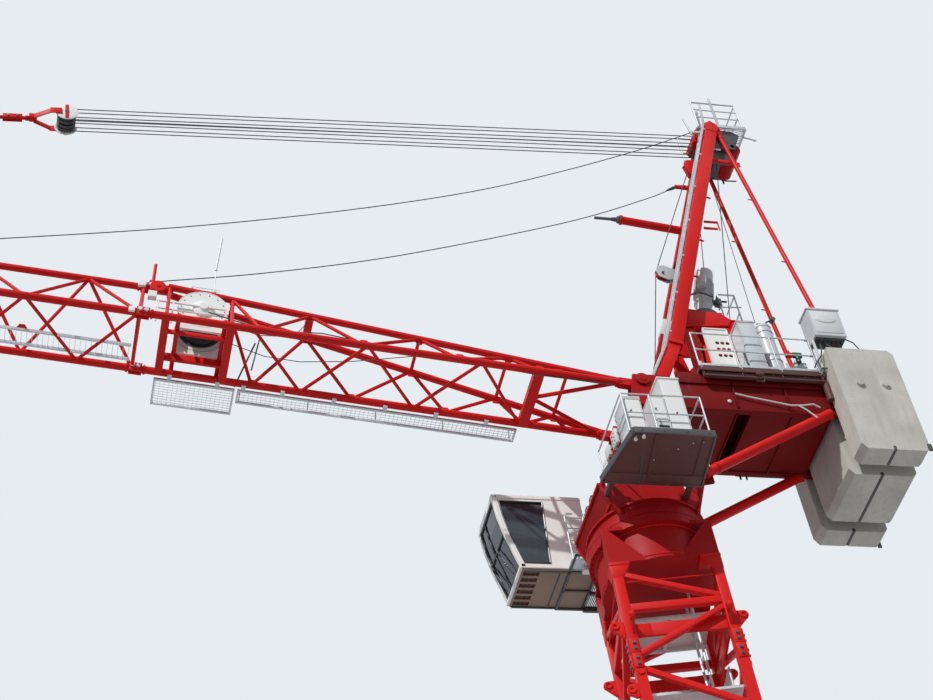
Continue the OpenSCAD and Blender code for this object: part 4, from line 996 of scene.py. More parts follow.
# Deck machines. The white box, the tank with its valves and gauge, a small green and red grease pump and
# pale pipework stand along the near edge of the deck.
pale = [block((-1.852, 0.322, 11.785), (-1.608, 0.568, 11.803), 0.005),
    block((-1.825, 0.556, 11.02), (-1.635, 0.566, 11.74), 0.005),
    turned([(0.0001, 0), (0.114, 0), (0.117, 0.01), (0.112, 0.02), (0.105, 0.045), (0.07, 0.07), (0.0001, 0.08)],
    (-2.11, 0.24, 11.99), 36)]
pale += [hoop(0.111, 0.118, z, z + 0.015, (-2.11, 0.24, 0), 36) for z in (11.02, 11.4, 11.9)]
pale += [block((-2.36, 0.42, 11.02), (-2.2, 0.54, 11.16), 0.01), rod_z(-2.28, 0.48, 11.16, 11.24, 0.035, 20),
    block((-2.05, 0.48, deck_top), (-1.9, 0.56, 11.05), 0.01), rod_z(-2.19, 0.36, deck_top, 11.3, 0.03, 20)]
finished("deck_machine_covers", pale, machine_grey, smooth=25)
pump_green = painted("pump_green", (0.015, 0.1, 0.04), (0.015, 0.07, 0.03), 0.2, 0.4)
finished("grease_pump_body", [block((-2.31, 0.555, 11.2), (-2.19, 0.6, 11.27), 0.01),
    rod_z(-2.25, 0.575, 11.12, 11.21, 0.03, 20)], pump_green)
finished("grease_pump_cap", [block((-2.185, 0.555, 11.2), (-2.1, 0.6, 11.265), 0.01),
    rod_z(-2.15, 0.578, 11.265, 11.3, 0.016, 16)], red)
valves = [rod_z(-2.11, 0.24, 12.06, 12.13, 0.014, 12), pipe([(-2.19, 0.26, 12.03), (-2.19, 0.26, 12.14),
    (-2.24, 0.27, 12.16), (-2.27, 0.28, 12.16)], 0.012), rod_y(-2.27, 0.25, 0.32, 12.16, 0.032, 16),
    rod_x(-2.15, -2.07, 0.24, 12.12, 0.01, 10)]
valves += [pipe([(-1.99, 0.3, 11.2), (-1.93, 0.36, 11.15), (-1.93, 0.44, 11), (-1.95, 0.5, 10.93)], 0.012),
    pipe([(-2.22, 0.28, 11.1), (-2.3, 0.34, 11.05), (-2.36, 0.44, 10.94)], 0.011)]
finished("tank_valves", valves, dark_steel_and_shade)

# Terminal box. The grey box has a rain lid, a door panel pressed with a lens shape, a gland row below and
# cables that hang in loops; two posts carry it at the deck's corner.
lid = [block((-2.875, 0.545, 11.828), (-2.437, 0.815, 11.848), 0.005),
    block((-2.83, 0.797, 11.43), (-2.48, 0.806, 11.8), 0.005),
    solid([(0.1, 0), (0.115, 0.004), (0.1, 0.01)], Matrix.Translation((-2.655, 0.804,
    11.66)) @ Matrix.Diagonal((1.2, 1, 0.55, 1)) @ Matrix.Rotation(-math.pi / 2, 4, "X"), 36)]
lid += [bar_z(x, y, deck_top, 11.39, 0.026, 0.026) for x, y in ((-2.45, 0.7), (-2.5, 0.62))]
finished("terminal_box_panels", lid, cabinet_grey, smooth=25)
glands = [block((-2.84, 0.6, 11.355), (-2.47, 0.76, 11.384), 0.004)]
glands += [rod_z(-2.8 + 0.055 * k, 0.72, 11.32, 11.36, 0.012, 12) for k in range(6)]
glands += [pipe([(-2.52, 0.72, 11.33), (-2.5, 0.74, 11.2), (-2.46, 0.74, 11.08), (-2.38, 0.72, 10.98),
    (-2.36, 0.68, 10.93)], 0.01), pipe([(-2.58, 0.72, 11.33), (-2.64, 0.76, 11.2), (-2.68, 0.77, 11.08),
    (-2.64, 0.76, 10.96), (-2.52, 0.72, 10.9), (-2.44, 0.68, deck_top)], 0.01),
    pipe([(-2.85, 0.74, 11.4), (-2.92, 0.78, 11.3), (-2.96, 0.79, 11.18)], 0.008)]
finished("terminal_box_cables", glands, black)
frame_tubes = [bent_pipe([(-1.98, 10.93), (-1.98, 13.24), (-2.21, 13.24), (-2.21, 10.93)], -0.3, 0.014),
    rod((-1.98, -0.3, 13), (-2.26, -0.3, 13.02), 0.01, 10), pipe([(-2.21, -0.3, 13.22), (-2.03, -0.3, 12.86)],
    0.01), pipe([(-2.21, -0.3, 12.92), (-2.12, -0.3, 12.72)], 0.01)]
finished("winch_service_frame", frame_tubes, zinc)

# A-frame legs. Two slim box legs with a knee stand on their foot rings; five square ties join them, the
# fourth one carries the forked socket of the rear hoist rope. The far leg wears the deeper red as painted shade.
knee, apex = Vector((-0.795, 0.435, 11.425)), Vector((-2.36, 0.3, 15.995))
rope_fork = Vector((-1.725, 0, 15.02))
tie_shares = (0.12, 0.36, 0.58, 0.785, 0.88)


def on_leg(share, side=1, out=0):
    spot = knee.lerp(apex, share)
    lean = (apex - knee).normalized()
    return Vector((spot.x + out * lean.z, side * spot.y, spot.z - out * lean.x))


for side, name, look, stands_for in ((1, "a_frame_near_leg", red, ["a_frame"]),
        (-1, "a_frame_far_leg", deep_red_and_shade, [])):
    foot, top = Vector((-0.425, side * 0.435, 10.675)), on_leg(1, side)
    leg = [bar(on_leg(0, side), top, 0.11, 0.165, 0.006), bar(foot, on_leg(0.015, side), 0.08, 0.155, 0.006),
        hoop(0.0455, 0.08, -0.04, 0.04, crosswise(foot), 48), upright([(-2.245, 15.88), (-2.25, 16.03),
        (-2.35, 16.1), (-2.43, 16.02), (-2.46, 15.9)], top.y, 0.05)]
    for share in tie_shares if side > 0 else ():
        tie = on_leg(share)
        leg.append(block((tie.x - 0.045, -tie.y, tie.z - 0.045), (tie.x + 0.045, tie.y, tie.z + 0.045)))
    if side > 0:
        stem = on_leg(0.785)
        leg += [bar((stem.x, 0, stem.z), rope_fork - Vector((0.06, 0, 0)), 0.04, 0.06),
            rod(rope_fork - aside(0.022), rope_fork + aside(0.022), 0.012, 16)]
        leg += [block(rope_fork + Vector((-0.09, y - 0.0045, -0.025)),
            rope_fork + Vector((0.022, y + 0.0045, 0.025))) for y in (-0.014, 0.014)]
    finished(name, leg, look, *stands_for)

# A-frame weld collars and step brackets. Collars close the knees and the ends of the cross ties, and stub
# pins and a small bracket stand on the rear edges of the legs.
collars = []
for side in both:
    for share, length in ((0, 0.05), (0.97, 0.02)):
        collars.append(bar(on_leg(share, side), on_leg(share + length / 4.8, side), 0.122, 0.178, 0.004))
    collars.append(bar((-0.44, side * 0.435, 10.71), (-0.5, side * 0.435, 10.83), 0.1, 0.17, 0.01))
    for share in tie_shares:
        tie = on_leg(share, side)
        collars.append(block(tie - Vector((0.056, 0.004 + side * 0.056, 0.056)),
            tie + Vector((0.056, 0.004 - side * 0.056, 0.056))))
    for share in (0.3, 0.46, 0.66):
        collars.append(rod(on_leg(share, side, -0.08), on_leg(share, side, -0.145), 0.012, 10))
for z, x in ((13.95, -1.9), (13.82, -1.87)):
    collars.append(bar_x(x + 0.12, x - 0.07, 0.31, z, 0.02, 0.03))
collars.append(rod_z(-1.965, 0.31, 13.8, 13.97, 0.01, 10))
finished("a_frame_collars", collars, red)
grey_box = [bar(on_leg(0.225, -1), on_leg(0.285, -1), 0.13, 0.185, 0.006)]
finished("a_frame_rope_clamp", grey_box, cabinet_grey)

# A-frame ladder. Two galvanised stiles with round rungs stand on brackets along the front of the near leg,
# from the deck to the apex platform.
ladder = []
stiles = (0.05, -0.075)
for dy in stiles:
    line = [on_leg(share, 1, 0.125) + aside(dy) for share in (-0.02, 1)]
    low_end = Vector((-0.33, 0.435 + dy, 10.75))
    ladder += [bar(a, b, 0.012, 0.034, 0.002) for a, b in ((line[0], line[1]), (low_end, line[0]),
        (line[1], line[1] + Vector((-0.03, 0, 0.42))))]
for k in range(37):
    spot = on_leg(-0.01 + k * 0.0278, 1, 0.125)
    ladder.append(rod(spot + aside(stiles[1]), spot + aside(stiles[0]), 0.0075, 10))
for share in (0.04, 0.2, 0.36, 0.52, 0.68, 0.84, 0.97):
    for dy in stiles:
        ladder.append(bar(on_leg(share, 1, 0.08) + aside(dy), on_leg(share, 1, 0.13) + aside(dy), 0.01, 0.03,
            0.001))
finished("a_frame_ladder", ladder, zinc)

# Apex sheaves and head block. Grooved rope wheels turn on one pin between cheek plates in front of the
# apex; behind the legs two dark plates with a cross sheet between them hold the backstays.
rope_top = Vector((-2.25, 0, 15.935))
rope_tracks = (-0.09, -0.035, 0.035, 0.09)
apex_wheel = [(0.03, 0.022), (0.13, 0.022), (0.135, 0.018), (0.119, 0.005)]
wheels = [grooved(apex_wheel, crosswise(rope_top + aside(y)), 48) for y in (*rope_tracks, 0.2)]
wheels += [grooved([(0.02, 0.015), (0.08, 0.015), (0.084, 0.012), (0.072, 0.003)], crosswise((-1.08, 0.11, 13.07)),
    40), hoop(0.03, 0.13, -0.22, 0.22, crosswise((-2.6, 0, 15.665)), 40)]
finished("apex_sheaves", wheels, deep_red_and_shade, "rope_sheaves")
head = [rod_y(-2.25, -0.245, 0.245, 15.935, 0.03, 24), rod_y(-2.6, -0.27, 0.27, 15.665, 0.03, 24),
    rod_y(-1.08, 0.05, 0.17, 13.07, 0.015, 16)]
for side in both:
    low, high = sorted((side * 0.2565, side * 0.27))
    head += [plate([(-2.29, 16), (-2.65, 16), (-2.76, 15.915), (-2.62, 15.6), (-2.29, 15.6)], "Y", low, high)]
head += [block((-2.64, -0.27, 15.585), (-2.4, 0.1, 15.61), 0.004),
    block((-2.62, -0.25, 15.61), (-2.3, -0.1, 15.98), 0.01),
    plate([(-2.22, 15.62), (-2.58, 15.62), (-2.52, 15.32), (-2.22, 15.32)], "Y", 0.2, 0.22),
    bent_pipe([(-2.6, 15.59), (-2.64, 15.56), (-2.8, 15.57)], -0.25, 0.01),
    rod_z(-2.6, -0.25, 15.5, 15.59, 0.014, 12)]
finished("head_block_covers", head, dark_steel_and_shade)
cheeks = [upright([(-2.14, 16), (-2.1, 15.93), (-2.14, 15.84), (-2.32, 15.78), (-2.4, 15.98), (-2.3, 16.03)], y,
    0.006) for y in (-0.118, 0, 0.118)]
cheeks += [bar((-2.16, 0.285, 15.31), (-2.6, 0.285, 15.25), 0.03, 0.05),
    bar((-2.59, 0.285, 15.26), (-2.56, 0.33, 15.14), 0.02, 0.02)]
cheeks += [upright([(-1.99, 15.58), (-1.93, 15.5), (-1.97, 15.28), (-2.06, 15.3), (-2.09, 15.57)], y, 0.012)
    for y in (-0.033, 0.033)]
finished("apex_cheeks", cheeks, red)
arm = [upright([(-0.995, 13.13), (-1.03, 13.2), (-1.12, 13.22), (-1.36, 13.1), (-1.36, 12.99), (-1.13, 12.96),
    (-1.02, 13.02)], y, 0.006, 0.002) for y in (0.078, 0.142)]
finished("guide_pulley_arm", arm, zinc, smooth=20)

# Apex platform. A short grating behind the apex with toe plates, handrails on three sides, one lone post
# in front of the legs and a lamp arm to the rear.
top_floor, top_rail = 16.02, 16.52
gallery = [block((-2.86, y - 0.012, top_floor - 0.03), (-2.42, y + 0.012, top_floor + 0.03)) for y in (-0.32, 0.32)]
gallery += [block((x - 0.012, -0.32, top_floor - 0.03), (x + 0.012, 0.32, top_floor + 0.03))
    for x in (-2.86, -2.42)]
gallery += [block((-2.855, -0.31 + 0.031 * k, top_floor - 0.02), (-2.425, -0.306 + 0.031 * k, top_floor), 0)
    for k in range(21)]
for side in both:
    y = side * 0.32
    gallery.append(bent_pipe([(-2.17, 15.98), (-2.17, top_rail), (-2.8, top_rail), (-2.82, 16)], y, 0.013))
    gallery += [rod_x(-2.17, -2.81, y, z, 0.009, 10) for z in (16.2, 16.36)]
    gallery.append(bar((-2.47, y, 16), (-2.46, y, top_rail + 0.12 if side > 0 else top_rail), 0.02, 0.035))
    gallery.append(block((-2.2, min(y, side * 0.27), 15.96), (-2.14, max(y, side * 0.27), 15.985)))
gallery += [rod_y(-2.81, -0.32, 0.32, z, 0.01, 10) for z in (16.26, top_rail)]
gallery += [pipe([(-2.03, 0.31, 15.8), (-1.98, 0.31, 16.12)], 0.014),
    bar((-2.3, 0.315, 15.86), (-2, 0.315, 15.84), 0.02, 0.035),
    pipe([(-2.86, 0.2, 15.98), (-3.02, 0.2, 15.94)], 0.012),
    block((-3.04, 0.185, 15.925), (-3, 0.215, 15.95), 0.004)]
finished("apex_gallery", gallery, zinc, "apex_platform")

# Backstays. Two tubes with forked, pinned ends run from the apex to the rear of the counter-jib, with
# short step rods welded on and a cable clipped along the near one.
stays = []
for side in both:
    low, high = Vector((-2.9, side * 0.515, 10.84)), Vector((-2.43, side * 0.3, 15.93))
    run = (high - low).normalized()
    stays += [rod(low + run * 0.12, high - run * 0.12, 0.029, 28)]
    for end, way in ((low, run), (high, -run)):
        stays += [turned([(0.0001, 0.09), (0.026, 0.095), (0.036, 0.12), (0.036, 0.17), (0.029, 0.19),
            (0.0001, 0.19)], aimed(end, way), 28), bar(end - way * 0.05, end + way * 0.12, 0.012, 0.07, 0.005),
            bar(end - way * 0.05 + aside(side * 0.03), end + way * 0.12 + aside(side * 0.03), 0.01, 0.07, 0.005),
            rod(end - aside(0.055), end + aside(0.055), 0.022, 20)]
    stays += [plate([(-2.98, 10.73), (-2.82, 10.73), (-2.85, 10.9), (-2.95, 10.9)], "Y",
        min(side * 0.49, side * 0.508), max(side * 0.49, side * 0.508))]
    stays += [rod(low.lerp(high, share) + Vector((0.025, 0, 0)), low.lerp(high, share) + Vector((0.085, 0, 0.01)),
        0.008, 8) for share in (0.2, 0.45, 0.7)]
finished("backstay_tubes", stays, red, "backstays")
runs = [pipe([(-2.09, 0.28, 14.95), (-2.03, 0.28, 12.1)], 0.005),
    pipe([(-1.8, 0.1, 13.95), (-1.735, 0, 13.34)], 0.006)]
finished("a_frame_cables", runs, strand)

# Jib stop. A red buffer tube on a foot plate leans out from the third tie; it ends in a bolted flange, a
# clevis and a steel rod with lock nuts.
stop_foot, stop_end = Vector((-1.64, 0, 14.1)), Vector((-0.775, 0, 14.235))
buffer = [rod(stop_foot, stop_end, 0.054, 28), block((-1.665, -0.09, 14.02), (-1.645, 0.09, 14.18), 0.004),
    turned([(0.056, 0), (0.066, 0.006), (0.066, 0.03), (0.056, 0.04)], aimed(stop_end, stop_foot - stop_end), 28)]
finished("jib_stop_tube", buffer, red, "luff_stop")
buffer_axis = aimed(stop_end, (0.315, 0, 0.005), (0, 1, 0))
stop = [solid([(0.062, -0.02), (0.062, 0), (0.05, 0.006), (0.05, 0.03), (0.03, 0.045), (0.03, 0.075)], buffer_axis,
    32), disc(0.026, 0.075, 0.11, buffer_axis, 6), solid([(0.0195, 0.1), (0.0195, 0.33), (0.015, 0.34)],
    buffer_axis, 24)]
finished("jib_stop_rod", stop, dark_steel_and_shade)

# Jib joints. At every section joint the chord ends carry forked lugs with a bright pin and its head, two
# low ones and one at the top chord.
luff_pivot, jib_rise, luff_travel = Vector((-0.21, 0, 10.715)), 7.25, 72
jib_frame = Matrix.Translation(luff_pivot) @ Matrix.Rotation(math.radians(-jib_rise), 4, "Y")
half_y, jib_height, jib_tip, pivot_length = 0.435, 0.91, 21.32, 5.48
joint_lines = [5.72 + 2.6 * k for k in range(7)]


def on_jib(name, parts, look, *stands_for, **more):
    finished(name, placed(parts, jib_frame), look, *stands_for, body="jib", **more)


lugs, pins = [], []
for s in joint_lines:
    for y, n, reach in ((-half_y, 0, 0.046), (half_y, 0, 0.046), (0, jib_height, 0.042)):
        for side in both:
            lugs.append(turned([(reach - 0.002, 0), (reach + 0.012, 0.004), (reach + 0.012, 0.022),
                (reach - 0.002, 0.03)], aimed((s + side * 0.085, y, n), (side, 0, 0)), 20))
            lugs.append(block((s - 0.075, y + side * 0.03 - 0.011, n - reach - 0.016),
                (s + 0.075, y + side * 0.03 + 0.011, n + reach + 0.016), 0.004))
        for shift in (-0.035, 0.035):
            pins += [rod_y(s + shift, y - 0.068, y + 0.068, n, 0.017, 16),
                rod_y(s + shift, y + 0.055, y + 0.074, n, 0.026, 12),
                block((s + shift - 0.005, y - 0.066, n - 0.03), (s + shift + 0.005, y - 0.058, n + 0.03), 0)]
on_jib("jib_joint_lugs", lugs, red)
on_jib("jib_joint_pins", pins, zinc)

# Jib node plates and foot eyes. Small plates stiffen where lacing meets the chords of the pivot section,
# the two feet have thick eye rings, and splice collars sit where the branches start.
low_nodes, high_nodes = (0.64, 1.19, 2.12, 3.23, 4.39), (0.83, 1.53, 2.56, 3.83, 4.73)
nodes = []
for side in both:
    for s in low_nodes[1:]:
        nodes.append(upright([(s - 0.07, 0.03), (s + 0.07, 0.03), (s + 0.035, 0.085), (s - 0.035, 0.085)],
            side * half_y, 0.005, 0.001))
    for s in high_nodes:
        y, n = side * (half_y - 0.375 * s / pivot_length), jib_height * s / pivot_length
        nodes.append(upright([(s - 0.06, n - 0.02), (s + 0.06, n), (s + 0.03, n - 0.085), (s - 0.03, n - 0.085)], y,
            0.005, 0.001))
    for face in both:
        nodes.append(turned([(0.038, 0), (0.074, 0), (0.078, 0.004), (0.078, 0.01), (0.038, 0.012)],
            crosswise((0, side * half_y + face * 0.039, 0), face), 36))
    nodes.append(turned([(0.045, 0), (0.057, 0.004), (0.057, 0.05), (0.045, 0.055)],
        aimed((0.235, side * half_y, 0), (1, 0, 0)), 24))
for k in range(1, 7):
    nodes.append(plate([(joint_lines[k] - 1.36, -0.055), (joint_lines[k] - 1.24, -0.055),
        (joint_lines[k] - 1.27, 0), (joint_lines[k] - 1.33, 0)], "Z", -0.005, 0.005, 0.001))
on_jib("jib_node_plates", nodes, red)

# Jib walkways. Open gratings of bearing bars lie in angle frames beside the far chord and, wider, beside
# the hoist winch; a narrow walkway with bright edges runs on inside the sections.
walk = []
for s0, s1, y_in, y_out in ((1.25, 4.54, -0.489, -0.675), (4.57, 5.5, -0.489, -0.88)):
    for y in (y_in, y_out):
        walk.append(block((s0, y - 0.012, -0.078), (s1, y + 0.012, -0.05), 0.002))
    walk += [block((s, y_out, -0.078), (s + 0.022, y_in, -0.05), 0.002) for s in (s0, s1 - 0.022)]
    walk += repeated(block((0, y_out, -0.07), (0.003, y_in, -0.058), 0),
        [Matrix.Translation((s0 + 0.05 * k, 0, 0)) for k in range(int((s1 - s0) / 0.05) + 1)])
    across = int((y_in - y_out) / 0.04)
    walk += [block((s0, y_out + 0.04 * k, -0.066), (s1, y_out + 0.04 * k + 0.003, -0.062), 0)
        for k in range(1, across + 1)]
for s in (1.6, 2.2, 2.8, 3.4, 4, 4.45, 4.75, 5.3):
    walk.append(block((s, -0.51, -0.07), (s + 0.05, -0.405, -0.05), 0.002))
for y in (-0.31, -0.09):
    walk.append(block((5.8, y - 0.009, -0.012), (20.9, y + 0.009, 0.03), 0.002))
walk += repeated(block((0, -0.305, 0.01), (0.004, -0.095, 0.022), 0),
    [Matrix.Translation((5.82 + 0.06 * k, 0, 0)) for k in range(251)])
on_jib("jib_walkways", walk, zinc, "jib_walkway")
guard_rails = [rod_x(1.3, 4.5, -0.668, 0.12, 0.006, 8)]
guard_rails += [rod_z(s, -0.668, -0.05, 0.12, 0.006, 8) for s in (1.3, 2.1, 2.9, 3.7, 4.5)]
guard_rails += [rod((4.58, -0.46, -0.04), (4.4, -0.3, 0.56), 0.01, 10),
    rod((4.42, -0.22, 0.02), (4.36, -0.2, 0.55), 0.009, 10)]
on_jib("jib_rope_rails", guard_rails, dark_steel_and_shade, slot="galvanised_steel")

# Hoist winch. A black grooved drum with two rims turns between round white shields on red cross bars, and
# the rope leaves over a small turning sheave.
winch_s, winch_n = 5.06, 0.45
winch_axis = crosswise((winch_s, 0, winch_n))
groove = [(0.05, -0.165)]
groove_pitch, grooves = 0.0133, 25
for k in range(grooves):
    groove += [(0.186, -0.16 + groove_pitch * k), (0.196, -0.1533 + groove_pitch * k)]
groove += [(0.186, 0.165), (0.05, 0.165)]
drum = [turned(groove, winch_axis, 56)]
drum += [turned([(0.05, y), (0.235, y), (0.24, y + 0.005), (0.235, y + 0.01), (0.05, y + 0.01)], winch_axis, 56)
    for y in (-0.176, 0.166)]
on_jib("hoist_winch_drum", drum, black, "hoist_winch")
turn_axis = crosswise((5.6, 0.095, 0.85))
turning = [grooved([(0.02, 0.018), (0.086, 0.018), (0.09, 0.014), (0.078, 0.003)], turn_axis, 40),
    rod_y(5.6, 0.04, 0.125, 0.85, 0.02, 20), block((5.575, 0.045, 0.825), (5.625, 0.075, 0.875), 0.004),
    *[block((winch_s + x - 0.025, -0.425, 0.047), (winch_s + x + 0.025, 0.425, 0.096), 0.004)
    for x in (-0.26, 0.26)], bar_x(5.46, 4.76, 0.2, 0.015, 0.03, 0.055), bar_x(5.48, 4.72, -0.2, 0.02, 0.04, 0.1),
    bar_y(5.33, 0.41, -0.41, 0.1, 0.012, 0.05, 0.003, (1, 0, 0)), rod_z(5.665, 0, 0.9, 1.33, 0.02, 16),
    block((5.62, 0.02, 0.93), (5.71, 0.06, 0.99), 0.004)]
on_jib("hoist_turning_sheave", turning, red)
hood_angles = [math.radians(a) for a in range(0, 181, 12)]
outer = [(winch_s + 0.285 * math.cos(a), winch_n + 0.285 * math.sin(a)) for a in hood_angles]
inner = [(winch_s + 0.27 * math.cos(a), winch_n + 0.27 * math.sin(a)) for a in reversed(hood_angles)]
hood = [plate([(5.345, 0.3), *outer, (4.775, 0.3), (4.79, 0.3), *inner, (5.33, 0.3)], "Y", -0.19, -0.02, 0.002)]
hood += [hoop(0.285, 0.293, side * 0.18, side * 0.213, winch_axis, 48) for side in both]
hood += [solid([(0.12, 0.21), (0.12, 0.232), (0.09, 0.245), (0.05, 0.25), (0.05, 0.27)], winch_axis, 40),
    solid([(0.14, -0.21), (0.14, -0.26), (0.12, -0.29), (0.12, -0.38), (0.1, -0.395)], winch_axis, 40),
    block((4.79, 0.1, 0.1), (4.86, 0.18, 0.3), 0.01), block((5.26, 0.1, 0.1), (5.33, 0.18, 0.3), 0.01)]
on_jib("hoist_winch_hood", hood, cream, smooth=25)
shield_bolts = [((winch_s + 0.245 * math.cos(a), 0.21, winch_n + 0.245 * math.sin(a)), (0, 1, 0))
    for a in circle(14)]
shield_bolts += [((winch_s + 0.1 * math.cos(a), 0.232, winch_n + 0.1 * math.sin(a)), (0, 1, 0)) for a in circle(8)]
on_jib("hoist_winch_bolts", bolts(shield_bolts, 0.006, 0.008), dark_steel_and_shade)

# Winch service rails. White rails stand beside the winch inside the pivot section, two white posts with
# a mesh panel rise over it, and a pale antenna is clamped to the rear post.
white = [bar_x(5.59, 4.79, 0.25, 0.449, 0.022, 0.022), rod_x(5.59, 4.79, 0.25, 0.325, 0.01, 12)]
white += [bar_z(s, 0.25, 0.1, 0.449, 0.018, 0.018) for s in (5.57, 5.4, 4.8)]
white += [bar_z(s, 0.02, 0.7, 1.03, 0.022, 0.03) for s in (5.21, 4.91)]
white += [block((5.74, 0.035, 0.86), (5.83, 0.075, 0.94), 0.006), block((5.6, 0.13, 0.56), (5.7, 0.2, 0.66), 0.006),
    block((5.81, 0.47, -0.05), (5.88, 0.5, 0.02), 0.004)]
on_jib("winch_service_rails", white, cream, smooth=20)
mesh = [rod_x(5.21, 4.91, 0.02, n, 0.0035, 6) for n in (0.86, 0.9, 0.94, 0.98, 1.02)]
mesh += [rod_z(4.95 + 0.045 * k, 0.02, 0.84, 1.02, 0.003, 6) for k in range(6)]
mesh += [rod((4.956, 0.1, 0.86), (4.966, 0.1, 1.27), 0.006, 10),
    rod((4.966, 0.1, 1.27), (4.94, 0.1, 1.84), 0.014, 12), block((4.93, 0.03, 0.88), (4.97, 0.11, 0.9), 0.002)]
on_jib("winch_mesh_and_antenna", mesh, zinc)
wiring = [pipe([(5, 0.28, 0.34), (4.7, 0.3, 0.24), (4.3, 0.3, 0.16), (3.7, 0.34, 0.2), (2.6, 0.38, 0.06),
    (1.2, 0.42, -0.05), (0.3, 0.45, -0.06)], 0.007), pipe([(4.75, -0.1, 0.3), (4.3, -0.05, 0.1), (3.9, 0, 0.04),
    (3.3, 0.05, 0.12), (2.6, 0.1, 0.3)], 0.005), pipe([(4.78, 0, 0.5), (4.4, 0.02, 0.36), (4, 0.05, 0.38),
    (3.85, 0.1, 0.6)], 0.005)]
on_jib("winch_wiring", wiring, black)

# Jib head fittings. Pin heads, hub rings and three rope guards hold the head wheel, and a small lamp and a
# bent rod stand on the nose.
nose = [rod_y(jib_tip + 0.15, y, y + 0.03, 1, 0.045, 24) for y in (-0.1, 0.07)]
nose += [hoop(0.045, 0.112, 0.022, 0.027, crosswise((jib_tip + 0.3, 0.15, 0.87), side), 36) for side in both]
nose += [rod_y(jib_tip + 0.3 + 0.125 * math.cos(a), 0.1, 0.2, 0.87 + 0.125 * math.sin(a), 0.008, 10)
    for a in (-0.6, 0.7, 2)]
nose += [rod_z(jib_tip + 0.5, -0.18, -0.02, 0.3, 0.012, 12)]
nose += [rod_x(jib_tip + 0.5, jib_tip + 0.62, -0.18, 0.3, 0.008, 10)]
on_jib("jib_head_fittings", nose, dark_steel_and_shade)
beacon = [turned([(0.0001, 0), (0.03, 0), (0.03, 0.05), (0.02, 0.07), (0.0001, 0.075)],
    (jib_tip + 0.46, 0.16, 0.05), 24)]
on_jib("jib_head_lamp", beacon, red)

# Luffing falls. Eight parts of rope run between the apex wheels and the equaliser, four over and four
# under.
head_pin = Vector((20.962, 0, 14.4165))
falls_share, falls_left = 0.368, 0.24967
eq = rope_top + (head_pin - rope_top) * falls_share
falls = []
for y in rope_tracks:
    for way in both:
        falls.append(rod(rope_top + Vector((0.004, y, way * 0.125)), eq + Vector((-0.004, y, way * 0.105)), 0.0065,
            10))
lines = finished("luffing_rope_falls", falls, strand, "luffing_falls", "hoist_rope_front", body="falls")
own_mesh(lines)

# Hoist ropes. The front rope sags from the apex to the first of the rollers on the jib and runs over them
# to the head wheel; the rear one sags from its socket on the fourth tie to the turning sheave on the jib.
def sagging(stations, radius, steps=8):
    stations = [Vector(point) for point in stations]
    ends = [stations[0] * 2 - stations[1], *stations, stations[-1] * 2 - stations[-2]]
    track = []
    for a, b, c, d in zip(ends, ends[1:], ends[2:], ends[3:]):
        for k in range(steps):
            t = k / steps
            track.append(0.5 * (2 * b
                + (c - a) * t + (2 * a - 5 * b + 4 * c - d) * t * t + (3 * b - a - 3 * c + d) * t ** 3))
    return pipe([*track, stations[-1]], radius, 10)


head_wheel = jib_frame @ Vector((jib_tip + 0.3, 0.15, 0.87 + 0.098))
first_roller = jib_frame @ Vector((8.2, 0.17, 0.96))
rope_leaves = Vector((-2.23, 0.2, 16.066))


def draws_tight(lines):
    """Gives the rope a mesh of its own."""
    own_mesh(lines)


front = [sagging([rope_leaves, (-1.267, 0.197, 15.512), (-0.038, 0.194, 14.893), (1.254, 0.19, 14.332),
    (2.985, 0.188, 13.761), (4.965, 0.185, 13.241), (7.04, 0.175, 12.825), first_roller], 0.0065, 5)]
draws_tight(finished("front_hoist_rope", front, strand))
finished("front_rope_on_jib", [rod(first_roller, head_wheel, 0.0065, 10)], strand, body="jib")
rollers = []
for s in (8.2, 11.2, 14.2, 17.2, 20.2):
    rollers += [rod_y(s, 0.08, 0.2, 0.94, 0.0125, 16), rod((s, 0, 0.9), (s, 0.095, 0.94), 0.008, 10)]
    rollers += [disc(0.024, 0, 0.006, crosswise((s, y, 0.94)), 20) for y in (0.13, 0.2)]
on_jib("jib_rope_rollers", rollers, deep_red_and_shade)
turn_top = jib_frame @ Vector((5.595, 0.095, 0.85 + 0.0905))
rear = [sagging([rope_fork, (-1.2, 0.01, 14.68), (0.055, 0.035, 14.03), (2.26, 0.06, 13.16), (3.9, 0.08, 12.66),
    turn_top], 0.0065)]
draws_tight(finished("rear_hoist_rope", rear, strand))
toward = (Vector((-1.2, 0.01, 14.68)) - rope_fork).normalized()
socket = [solid([(0.007, 0), (0.007, 0.038), (0.024, 0.05), (0.016, 0.15), (0.01, 0.19)], aimed(rope_fork, toward),
    20), hoop(0.013, 0.026, -0.008, 0.008, crosswise(rope_fork), 24)]
finished("rear_rope_socket", socket, dark_steel_and_shade, "hoist_rope_rear", body="rear_rope")

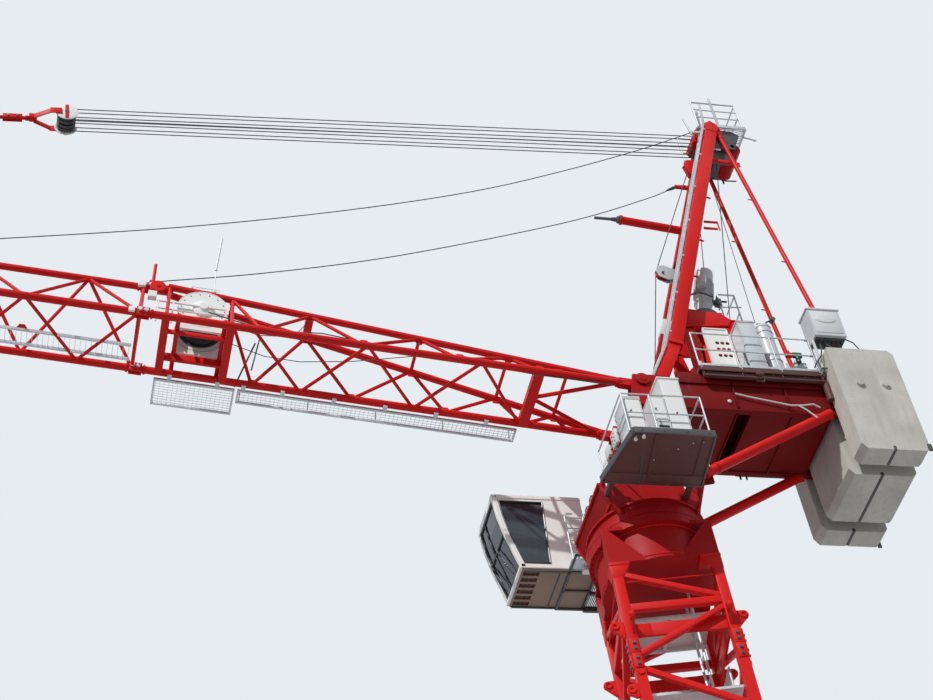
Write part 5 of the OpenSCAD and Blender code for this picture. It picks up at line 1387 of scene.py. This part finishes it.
# Equaliser. Dark grooved wheels turn on one pin below a white cheek disc with a red strap, and a red fork
# takes the pull to the pendant bar.
line_way = (head_pin - eq).normalized()
dark_wheels = [grooved([(0.02, 0.02), (0.112, 0.02), (0.117, 0.016), (0.103, 0.004)], crosswise(eq + aside(y)), 40)
    for y in rope_tracks]
dark_wheels.append(rod(eq + aside(-0.15), eq + aside(0.15), 0.026, 24))
finished("equaliser_wheels", dark_wheels, dark_steel_and_shade, body="pendants")
plates = [turned([(0.027, 0), (0.14, 0), (0.14, 0.012), (0.12, 0.018), (0.027, 0.018)],
    crosswise(eq + aside(side * 0.118), side), 48) for side in both]
finished("equaliser_cheeks", plates, cream, body="pendants", smooth=25)
fork = [bar(eq + Vector((0, side * 0.14, -0.13)), eq + Vector((0, side * 0.14, 0.13)), 0.008, 0.045)
    for side in both]
for side in both:
    fork += [bar(eq + line_way * 0.06 + aside(side * 0.144), eq + line_way * 0.2 + aside(side * 0.144), 0.014, 0.1),
        bar(eq + line_way * 0.19 + aside(side * 0.14), eq + line_way * 0.4 + aside(side * 0.035), 0.014, 0.08)]
fork += [block(eq + Vector((0.36, -0.045, -0.045)), eq + Vector((0.46, 0.045, 0.025)), 0.006),
    rod(eq + line_way * 0.4, head_pin - line_way * 0.06, 0.024, 20),
    bar(head_pin - line_way * 0.12, head_pin + line_way * 0.02, 0.05, 0.075, 0.01),
    hoop(0.032, 0.052, -0.03, 0.03, crosswise(head_pin), 36)]

# Pendant splices. The bar is pinned together from lengths: two plates with two pins and a collar at both
# ends mark each splice.
splice_pins, bar_length = [], 14.55
for share in (0.035, 0.2, 0.38, 0.56, 0.74, 0.9):
    spot = eq + line_way * (bar_length * share + 0.15)
    fork += [bar(spot - line_way * 0.12 + aside(y), spot + line_way * 0.12 + aside(y), 0.012, 0.07, 0.004)
        for y in (-0.034, 0.034)]
    fork += [turned([(0.023, 0), (0.034, 0.008), (0.034, 0.04), (0.023, 0.05)],
        aimed(spot + line_way * way, line_way), 20) for way in (-0.2, 0.15)]
    splice_pins += [rod(spot + line_way * way + aside(-0.052), spot + line_way * way + aside(0.052), 0.014, 16)
        for way in (-0.06, 0.06)]
finished("pendant_bar", fork, red, "pendants", body="pendants")
finished("pendant_splice_pins", splice_pins, oiled, body="pendants")
